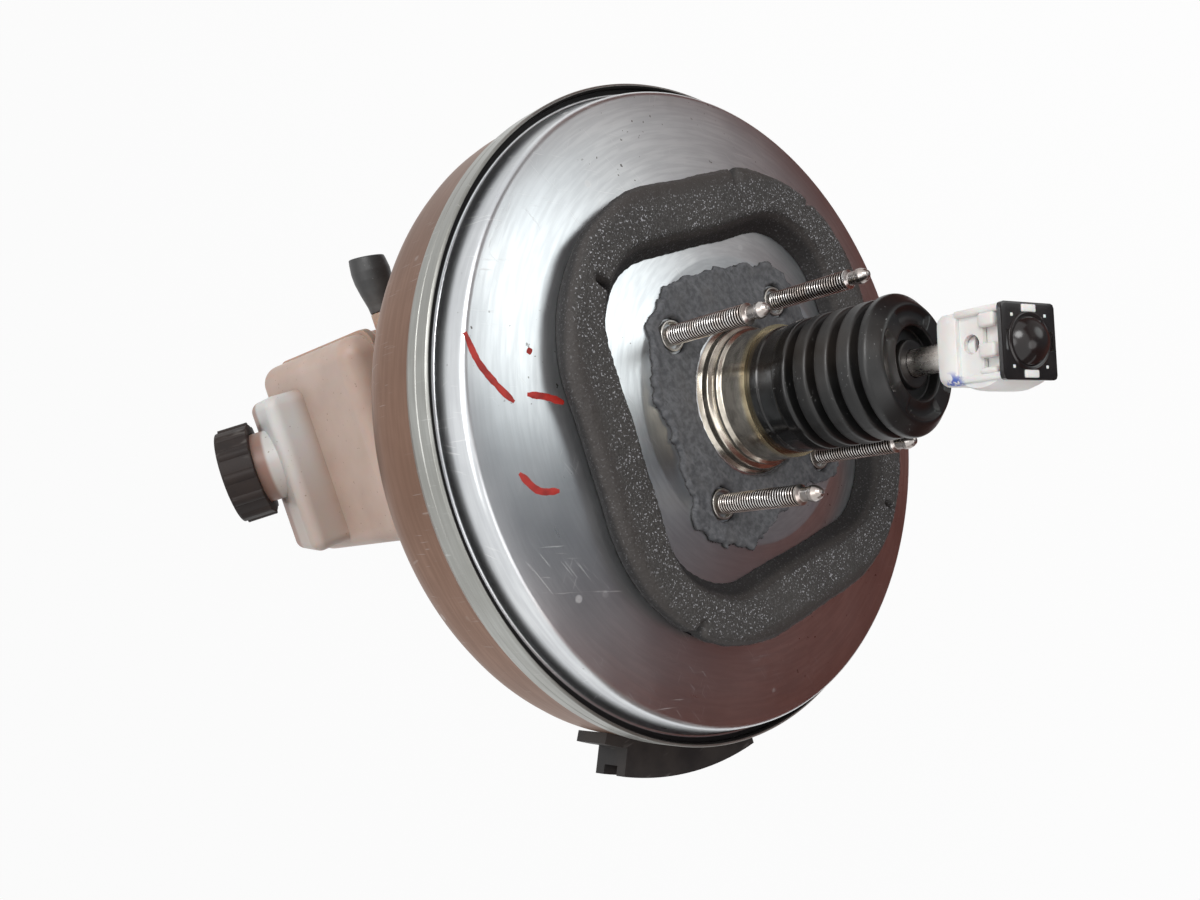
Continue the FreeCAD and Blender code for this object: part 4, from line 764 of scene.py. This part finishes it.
def foam_ring():
    """Square foam ring with a slanted inner wall, uneven skin and a few slits."""
    steps = 720
    corners = []
    for angle in around(steps):
        c, s = math.cos(angle), math.sin(angle)
        outer = square_reach(FOAM_HALF, FOAM_CORNER, angle)
        for across, up in FOAM_SECTION:
            inner = square_reach(HOLE_HALF + HOLE_SLANT * up, HOLE_CORNER + HOLE_ROUNDING * up, angle)
            reach = outer + (inner - outer) * across
            base = face_depth(reach) - 0.3
            depth = base + (FOAM_TOP - base) * up
            spot = Vector((reach * c, depth, reach * s))
            wave = ripple(spot, (0.045, 1.3), (0.35, 0.35), (1.3, 0.22))
            side = 1.0 if across < 0.5 else -1.0
            edge = abs(across - 0.5) * 2
            reach += side * wave * (0.9 if edge > 0.9 else 0.3)
            if up > 0.5:
                depth += noise.noise(spot * 0.5 + Vector((9, 0, 0))) * 0.35 + noise.noise(spot * 1.7) * 0.2
            for degrees, cut_edge, width, deep in FOAM_CUTS:
                gap = math.radians(degrees) - angle
                gap = abs(math.atan2(math.sin(gap), math.cos(gap)))
                near = {1: 1 - across, -1: across, 0: 1 - edge}[cut_edge]
                if gap < width and up > 0.4 and near > 0.55:
                    depth += deep * (1 - gap / width) * min((near - 0.55) / 0.3, 1.0) * 0.8
                    reach -= side * deep * 0.35 * (1 - gap / width) if edge > 0.9 else 0
            corners.append((reach * c, min(depth, base), reach * s))
    return corners, ring_faces(steps, len(FOAM_SECTION))


foam = add_piece("foam_gasket", [foam_ring()], ["foam"], ["mounting_foam"], 60.0)


# Putty round the neck

PUTTY_OUTLINE = [
    (54, 29), (41, 45), (14, 52), (0, 49), (-25, 49), (-38, 51), (-48, 42), (-57, 25), (-50, 4), (-44, -22),
    (-47, -42), (-30, -50), (0, -51), (30, -49), (45, -45), (51, -38), (55, -5),
]
PUTTY_HOLE, STUD_CLEARANCE = 31.7, 6.9
GRID_PITCH, GRID_COUNT = 0.8, 150
EDGE_STEP = 0.1


def edge_distance(x, z, outline):
    """Signed distance to a closed outline, positive inside."""
    best, inside = 1e9, False
    for (x0, z0), (x1, z1) in zip(outline, outline[1:] + outline[:1]):
        dx, dz = x1 - x0, z1 - z0
        t = max(0.0, min(1.0, ((x - x0) * dx + (z - z0) * dz) / (dx * dx + dz * dz)))
        best = min(best, math.hypot(x - x0 - t * dx, z - z0 - t * dz))
        if (z0 > z) != (z1 > z) and x < x0 + dx * (z - z0) / dz:
            inside = not inside
    return best if inside else -best


def putty_reach(x, z):
    """Distance into the putty from its torn edge, negative outside it."""
    spot = Vector((x, 0.0, z))
    inside = edge_distance(x, z, PUTTY_OUTLINE) + ripple(spot, (0.16, 2.6), (0.5, 0.8))
    inside = min(inside, math.hypot(x, z) - PUTTY_HOLE + ripple(spot, (0.3, 0.4)))
    for sx, sz in STUD_SPOTS:
        inside = min(inside, math.hypot(x - sx, z - sz) - STUD_CLEARANCE + ripple(spot, (0.45, 0.7)))
    return inside


def putty_depth(x, z):
    """Thickness of the putty at a place, zero where it is torn away."""
    spot = Vector((x, 0.0, z))
    inside = putty_reach(x, z)
    if inside <= 0:
        return 0.0
    drawn = Vector((x * 0.82 + z * 0.57, 0.0, (z * 0.82 - x * 0.57) * 3.2))
    body = 2.1 + ripple(spot, (0.07, 0.6)) + ripple(drawn, (0.16, 0.22)) + ripple(spot, (1.2, 0.08))
    lip = math.exp(-((inside - 1.4) / 1.2) ** 2) * 0.6 * (0.4 + noise.noise(spot * 0.21))
    return max(body + lip, 0.6) * min(inside / 0.8, 1.0) ** 0.45


def onto_edge(x, z):
    """A place just outside the putty moved onto its torn edge."""
    here = putty_reach(x, z)
    slope = Vector((putty_reach(x + EDGE_STEP, z) - here, putty_reach(x, z + EDGE_STEP) - here)) / EDGE_STEP
    move = slope * (-here / max(slope.length_squared, 0.3))
    move *= min(1.0, GRID_PITCH * 0.9 / max(move.length, 1e-6))
    return x + move.x, z + move.y


def putty():
    """Torn sheet of putty as a fine grid, closed underneath."""
    grid = {}
    for i in range(GRID_COUNT):
        for j in range(GRID_COUNT):
            x, z = (i - GRID_COUNT / 2) * GRID_PITCH, (j - GRID_COUNT / 2) * GRID_PITCH
            grid[i, j] = (x, z, putty_depth(x, z))
    corners, faces, lookup = [], [], {}

    def corner(key, top):
        if (key, top) not in lookup:
            x, z, thick = grid[key]
            if thick <= 0:
                x, z = onto_edge(x, z)
            lookup[key, top] = len(corners)
            corners.append((x, -0.02 - (thick if top else 0.0), z))
        return lookup[key, top]

    for i in range(GRID_COUNT - 1):
        for j in range(GRID_COUNT - 1):
            cell = [(i, j), (i + 1, j), (i + 1, j + 1), (i, j + 1)]
            if max(grid[key][2] for key in cell) > 0:
                faces.append(tuple(corner(key, True) for key in cell))
                faces.append(tuple(corner(key, False) for key in reversed(cell)))
    return corners, faces


add_piece("neck_putty", [putty()], ["mastic"], ["sealing_mastic"], 70.0)


# Boot

BOOT_PATH = [(5.3, -79.2), (9.0, -79.2), (9.0, -76.5), (13.5, -76.5), (13.5, -81.0), (21.9, -81.0),
             (26.4, -76.5), (26.4, -73.8)]
BOOT_ROUNDS = {1: 0.6, 2: 0.5, 3: 0.5, 4: 0.9, 5: 2.6, 6: 2.2}
FOLD_PITCH = 9.7
for fold in range(4):
    start = -73.8 + fold * FOLD_PITCH
    first = len(BOOT_PATH)
    BOOT_PATH += [(20.6, start + 0.14 * FOLD_PITCH), (20.6, start + 0.30 * FOLD_PITCH),
                  (25.7, start + 0.44 * FOLD_PITCH), (25.9, start + FOLD_PITCH)]
    BOOT_ROUNDS.update({first - 1: 0.7, first: 0.5, first + 1: 0.5, first + 2: 1.4})
BOOT_PATH += [(24.9, -34.2), (24.7, -27.0), (25.2, -26.4), (25.2, -22.05)]
last = len(BOOT_PATH)
BOOT_ROUNDS.update({last - 5: 0.5, last - 4: 0.4, last - 3: 0.4, last - 2: 0.4})
MOULD_LINE = 2.3


def boot():
    """Folded boot with a mould line along one side and pockets in its end face."""
    outline = wall_outline(BOOT_PATH, 1.7, BOOT_ROUNDS, 1.1)
    corners, faces, indices = lathe(outline, 240)
    shaped = []
    for x, y, z in corners:
        radius, angle = math.hypot(x, z), math.atan2(z, x)
        gap = abs(math.atan2(math.sin(angle - MOULD_LINE), math.cos(angle - MOULD_LINE)))
        if radius > 20.5 and y > -79.0:
            radius += 0.16 * math.exp(-(gap * radius / 0.28) ** 2)
        if 14.6 < radius < 21.2 and y < -79.5:
            spoke = abs(math.sin(2.0 * (angle - 0.5)))
            middle = 1.0 - min(abs(radius - 17.9) / 3.0, 1.0) ** 4
            y += 1.5 * middle * min(max((spoke - 0.42) / 0.1, 0.0), 1.0)
        shaped.append((radius * math.cos(angle), y, radius * math.sin(angle)))
    return shaped, faces, indices


folded_boot = add_piece("folded_boot", [boot()], ["black_rubber"], ["boot"], 45.0)
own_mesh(folded_boot)


# Springs, copied from the CAD parts onto the bodies that carry them

# CAD spring, body, joint that presses it, its travel and the end that stays: 0 rear, 1 front
SPRINGS = [
    ("return_spring", "housing", "booster_stroke", 32.0, 1),
    ("primary_spring", "secondary", "primary_stroke", 17.9, 1),
    ("secondary_spring", "housing", "secondary_stroke", 14.6, 1),
    ("rod_spring", "input", "valve_stroke", 1.5, 0),
    ("check_spring", "vacuum_inlet", "check_lift", 2.0, 1),
]
for node_name, body, joint, travel, fixed_end in SPRINGS:
    node = frame["nodes"][node_name]
    coil = node.data.copy()
    coil.transform(node.matrix_world)
    spring = linked(node_name + "_coil", coil)
    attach(spring, body)
    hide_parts(node_name)
    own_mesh(spring)


# Hose stub on the tank's spout

HOSE_PATH = [(4.6, 82.3), (5.9, 82.3), (6.2, 85.5), (7.6, 91.5), (8.6, 97.0), (8.8, 101.0), (8.3, 105.0),
             (7.9, 107.3), (3.7, 107.3), (3.7, 96.2), (4.6, 96.2)]
HOSE_ROUNDS = {1: 0.4, 2: 3.0, 3: 8.0, 4: 6.0, 5: 5.0, 6: 4.0, 7: 0.7, 8: 0.5}
HOSE_Y, HOSE_Z, HOSE_SLANT = 130.0, 70.0, 0.07
SPOUT_END, HOSE_END = 96.2, 107.3


def hose():
    """Tapered rubber stub with a slanted end, lying along X."""
    corners, faces, indices = lathe(refine(soften(HOSE_PATH, HOSE_ROUNDS), 2.0), 96)
    turned = []
    for side, along, up in corners:
        share = max(along - SPOUT_END, 0.0) / (HOSE_END - SPOUT_END)
        turned.append((along + HOSE_SLANT * (side + up) * share, HOSE_Y + side, HOSE_Z + up))
    return turned, faces, indices


add_piece("hose_stub", [hose()], ["hose"], ["spout_hose"], 40.0)


# Pedal clip, built square on its ball and then tilted into place

ON_BALL = (Matrix.Translation((0, -106.0, 0)) @ Matrix.Rotation(math.radians(-13.0), 4, "X")
           @ Matrix.Rotation(math.radians(17.0), 4, "Y"))


def placed(parts, matrix):
    corners, faces, indices = merge(*parts)
    return [tuple(matrix @ Vector(corner)) for corner in corners], faces, indices


def holed_plate(low_z, high_z):
    """Flat side plate of the cage, in the XY plane, with a round hole through it."""
    half_x, low_y, high_y, hole, centre = 9.9, -9.5, 1.0, 3.3, (0.6, -4.6)
    count = 48
    corners, faces = [], []
    for z in (low_z, high_z):
        for angle in around(count):
            c, s = math.cos(angle), math.sin(angle)
            corners.append((centre[0] + hole * c, centre[1] + hole * s, z))
            reach = min((half_x - centre[0] * (1 if c > 0 else -1)) / max(abs(c), 1e-6),
                        (high_y - centre[1]) / s if s > 1e-6 else 1e9,
                        (low_y - centre[1]) / s if s < -1e-6 else 1e9)
            corners.append((centre[0] + reach * c, centre[1] + reach * s, z))
    for step in range(count):
        onward = (step + 1) % count
        a, b, c, d = 2 * step, 2 * step + 1, 2 * onward + 1, 2 * onward
        base = 2 * count
        faces.append((a, b, c, d))
        faces.append((base + d, base + c, base + b, base + a))
        faces.append((a, d, base + d, base + a))
        faces.append((b, base + b, base + c, c))
    return corners, faces


# Shares of the way from the outside to the hole, and distances along the rod
COLLAR_SECTION = [(0.0, 0.6), (0.04, 0.0), (0.5, 0.0), (1.0, 0.0), (1.0, 1.0), (1.0, 8.0), (0.5, 8.2),
                  (0.06, 8.2), (0.0, 7.4), (0.0, 4.0)]


def collar_block():
    """Rounded square end of the cage with a flared hole for the rod."""
    count = 96
    corners = []
    for angle in around(count):
        outer = square_reach(12.4, 4.0, angle)
        for across, along in COLLAR_SECTION:
            reach = outer + (5.7 + along * 0.36 - outer) * across
            corners.append((reach * math.cos(angle), 0.3 + along, reach * math.sin(angle)))
    return corners, ring_faces(count, len(COLLAR_SECTION))


WALL_ROWS, WALL_COLUMNS = 17, 9


def bowed_wall():
    """Side wall of the cage that bows outwards along its length."""
    corners = []
    for i in range(WALL_ROWS):
        share = i / (WALL_ROWS - 1)
        bow = 3.0 * math.sin(math.pi * min(share * 1.02, 1.0)) ** 0.8
        columns = range(WALL_COLUMNS)
        for layer, order in ((0.0, columns), (2.0, reversed(columns))):
            for j in order:
                z = -11.2 + 22.4 * j / (WALL_COLUMNS - 1)
                round_off = 1.1 * abs(z / 11.2) ** 6
                corners.append((-12.3 - bow + layer + round_off, 0.8 - 18.2 * share, z))
    size = 2 * WALL_COLUMNS
    faces = ring_faces(WALL_ROWS, size, False)
    for base in (0, len(corners) - size):
        end = base + size - 1
        faces += [(base + j, base + j + 1, end - 1 - j, end - j) for j in range(WALL_COLUMNS - 1)]
    return corners, faces


def cage():
    """The clip's body: collar, one bowed wall, plain walls, side plates, ribs and a socket for the ball."""
    boxes = [((9.9, -17.6, -12.2), (12.4, 1.2, 12.2), 0.9), ((-12.2, -17.6, -12.2), (-9.6, 1.2, -9.8), 0.8),
             ((-12.2, -17.6, 9.8), (-9.8, 1.2, 12.2), 0.8)]
    plates = []
    for side in (1, -1):
        plates.append(holed_plate(*sorted((side * 8.6, side * 10.4))))
        low, high = sorted((side * 8.4, side * 12.3))
        for low_x, high_x in ((5.4, 10.2), (-4.6, 0.2), (-10.2, -7.8)):
            boxes.append(((low_x, -15.6, low), (high_x, -8.8, high), 1.1))
        low, high = sorted((side * 6.2, side * 8.4))
        boxes.append(((-9.8, -17.4, low), (9.8, -9.2, high), 0.5))
        low, high = sorted((side * 9.4, side * 12.0))
        boxes.append(((low, -19.95, -3.2), (high, -17.0, 3.2), 0.45))
    for x in (-8.4, 8.4):
        for z in (-7.8, 7.8):
            boxes.append(((x - 0.55, -19.5, z - 0.55), (x + 0.55, -17.4, z + 0.55), 0.2))
    socket = soften([(6.56, 2.0), (6.56, -4.0), (8.4, -4.0), (8.4, 2.0)], {1: 0.3, 2: 0.5})
    parts = [collar_block(), bowed_wall(), lathe(socket, 48), *plates, *(bevelled_box(*box) for box in boxes)]
    return placed(parts, ON_BALL)


add_piece("clip_body", [cage()], ["white_nylon"], ["clip_cage"], 40.0, "pedal_clip")


# Inset and depth of each step of the plate's edge
BUTTON_EDGE = [(0.0, -17.65), (0.0, -19.15), (0.3, -19.27), (0.9, -19.3), (3.0, -19.3)]
STEP_PATH = [(9.9, -19.0), (9.9, -19.55), (9.2, -19.9), (8.9, -19.75), (8.45, -19.75)]
DOME_RADIUS, DOME_HEIGHT, DOME_FOOT = 8.2, 4.9, -19.6


def button_plate():
    """Square plate with a slot near two of its edges."""
    count = 96
    corners = []
    for inset, depth in BUTTON_EDGE:
        for angle in around(count):
            reach = square_reach(12.7, 1.6, angle) - inset
            corners.append((reach * math.cos(angle), depth, reach * math.sin(angle)))
    faces = ring_faces(len(BUTTON_EDGE), count, False)
    faces += [tuple(range(len(corners) - count, len(corners))), tuple(range(count))[::-1]]
    plate = linked("plate", make_mesh((corners, faces)))
    cutters = []
    for z in (-10.5, 10.1):
        box = bevelled_box((-3.4, -21.0, z - 0.9), (3.4, -16.5, z + 0.9), 0.85)
        cutters.append(linked("cutter", make_mesh(box)))
        modifier = plate.modifiers.new("slot", "BOOLEAN")
        modifier.object = cutters[-1]
        modifier.solver = "EXACT"
    cut = evaluated(plate)
    for cutter in cutters:
        bpy.data.objects.remove(cutter)
    return cut


def button():
    """Black plate with a dome on a stepped ring."""
    dome = soften(STEP_PATH, {1: 0.3, 2: 0.3, 3: 0.2}, 4)
    ball = (DOME_RADIUS ** 2 + DOME_HEIGHT ** 2) / (2 * DOME_HEIGHT)
    for step in range(19):
        angle = math.asin(DOME_RADIUS / ball) * (1 - step / 18)
        dome.append((ball * math.sin(angle), DOME_FOOT - DOME_HEIGHT + ball - ball * math.cos(angle)))
    return placed([button_plate(), lathe(dome, 96, False)], ON_BALL)


add_piece("clip_button", [button()], ["gloss_black"], ["clip_plate"], 35.0, "pedal_clip")


# Paint strokes on the rear pressing

STROKES = [
    [(58, 119), (47, 118), (37, 114), (30, 110)],
    [(31, 104), (28, 97), (24, 91)],
    [(6, 117), (-2, 112), (-5, 104)],
    [(46.0, 98.0), (44.6, 96.6)],
]
STROKE_WIDTH = 1.25


def strokes():
    """Raised brush strokes along smooth curves through the given places."""
    corners, faces = [], []
    for stroke in STROKES:
        path = []
        spots = [Vector((x, z)) for x, z in stroke]
        spots = [spots[0] * 2 - spots[1]] + spots + [spots[-1] * 2 - spots[-2]]
        for p0, p1, p2, p3 in zip(spots, spots[1:], spots[2:], spots[3:]):
            for step in range(14):
                t = step / 14
                path.append(0.5 * (2 * p1 + (p2 - p0) * t + (2 * p0 - 5 * p1 + 4 * p2 - p3) * t * t
                                   + (3 * p1 - p0 - 3 * p2 + p3) * t ** 3))
        path.append(spots[-2])
        base = len(corners)
        for i, spot in enumerate(path):
            run = (path[min(i + 1, len(path) - 1)] - path[max(i - 1, 0)]).normalized()
            side = Vector((-run.y, run.x))
            share = i / (len(path) - 1)
            width = STROKE_WIDTH * min(1.0, 0.55 + 3 * min(share, 1 - share))
            width += ripple(Vector((*spot, 0)), (0.6, 0.3))
            for k in (-1, -0.5, 0, 0.5, 1, 0):
                at = spot + side * width * k
                lift = 0.12 * (1 - abs(k) ** 2) if len(corners) % 6 < 5 else -0.1
                corners.append((at.x, face_depth(at.length) - 0.05 - lift, at.y))
        faces += [tuple(base + i for i in face) for face in ring_faces(len(path), 6, False)]
        faces.append(tuple(base + k for k in range(5, -1, -1)))
        faces.append(tuple(len(corners) - 6 + k for k in range(6)))
    return corners, faces


add_piece("paint_strokes", [strokes()], ["paint"])


# Stage

def plane(name, centre, size_x, size_y, material, direction=(0, 0, 1)):
    """Flat stage piece facing a direction."""
    mesh = bpy.data.meshes.new(name)
    x, y = size_x / 2, size_y / 2
    turn = Vector(direction).to_track_quat("Z", "Y").to_matrix()
    corners = [turn @ Vector(c) + Vector(centre) for c in ((-x, -y, 0), (x, -y, 0), (x, y, 0), (-x, y, 0))]
    mesh.from_pydata(corners, [], [(0, 1, 2, 3)])
    mesh.materials.append(material)
    piece = linked(name, mesh)
    return piece


def floor_material():
    """Pale matt floor that looks evenly bright to the camera and in mirrors."""
    f = Finish("pale_floor")
    plain = f.node("ShaderNodeBsdfDiffuse", None, {"Color": grey(0.85)})
    bright = f.node("ShaderNodeEmission", None, {"Color": grey(1.0), "Strength": 1.0})
    return f.surface(f.node("ShaderNodeMixShader", None, {0: f.seen_share() * 0.93, 1: plain, 2: bright}))


plane("floor", (0, 0, -0.62), 14.0, 14.0, floor_material())

SHEEN_AIM = (0.22, -0.87, -0.44)


def sheen_material():
    """Glow that is brightest in one direction from the object and fades away from it."""
    f = Finish("sheen")
    toward = f.node("ShaderNodeVectorMath", {"operation": "NORMALIZE"}, {0: f.place})
    aligned = f.node("ShaderNodeVectorMath", {"operation": "DOT_PRODUCT"}, {0: toward, 1: SHEEN_AIM}, 1)
    raised = f.level(f.split(toward)[0], 0.02, 0.22) * f.level(aligned, 0.76, 0.86)
    colour = f.blend(f.level(aligned, 0.66, 0.86), (0.125, 0.042, 0.032), (0.10, 0.11, 0.123))
    colour = f.blend(raised, colour, (0.42, 0.39, 0.385))
    return f.glow(f.blend(f.level(aligned, 0.95, 0.985), colour, (2.2, 2.3, 2.3)))


def card(name, centre, size_x, size_y, material, facing):
    """Studio card that only shows in reflections."""
    piece = plane(name, centre, size_x, size_y, material, facing)
    for rays in ("camera", "diffuse", "shadow", "transmission"):
        setattr(piece, "visible_" + rays, False)


sheen = sheen_material()
card("sheen_floor", (0, -0.7, -0.55), 4.0, 1.6, sheen, (0, 0, 1))
card("sheen_wall", (0, -1.5, 0.0), 4.0, 1.1, sheen, (0, 1, 0))
card("side_card", (-0.9, -0.4, 0.1), 0.9, 0.5, Finish("side_card").glow((0.16, 0.12, 0.11)), (0.9, 0.4, -0.1))

LAMP_TARGET = (0, 0, 0.02)


def lamp(name, place, size, power):
    """Round soft lamp that shines on the middle of the object."""
    light = bpy.data.lights.new(name, "AREA")
    light.shape = "DISK"
    light.size = size
    light.energy = power
    piece = linked(name, light)
    piece.location = place
    piece.rotation_euler = (Vector(place) - Vector(LAMP_TARGET)).to_track_quat("Z", "Y").to_euler()
    piece.visible_camera = False


lamp("key", (0.95, -0.75, 0.95), 0.7, 10.0)
lamp("left_fill", (0.35, -0.15, 1.35), 0.8, 3.5)
lamp("front_fill", (-0.35, -1.4, 0.35), 0.8, 3.0)

scene = bpy.context.scene
scene.view_settings.view_transform = "Standard"
scene.world = bpy.data.worlds.new("studio")
scene.world.use_nodes = True
scene.world.node_tree.nodes.clear()
sky = Tree(scene.world.node_tree)
strength = 0.55 + sky.seen_share() * 0.45
sky_light = sky.node("ShaderNodeBackground", None, {"Color": grey(1.0), "Strength": strength})
sky.node("ShaderNodeOutputWorld", None, {"Surface": sky_light})


# Camera at the photograph's viewing angle

RIGHT = (-0.29763, -0.65427, -0.69523)
UP = (0.94928, -0.12548, -0.28830)
BACK = (0.10138, -0.74578, 0.65844)
PLACE = (0.04379, -0.29344, 0.34470)
camera = bpy.data.cameras.new("camera")
camera.sensor_width = 36.0
camera.lens = 32.775
camera.clip_start = 0.01
viewer = linked("camera", camera)
viewer.matrix_world = Matrix.Translation(PLACE) @ Matrix((RIGHT, UP, BACK)).transposed().to_4x4()
scene.camera = viewer
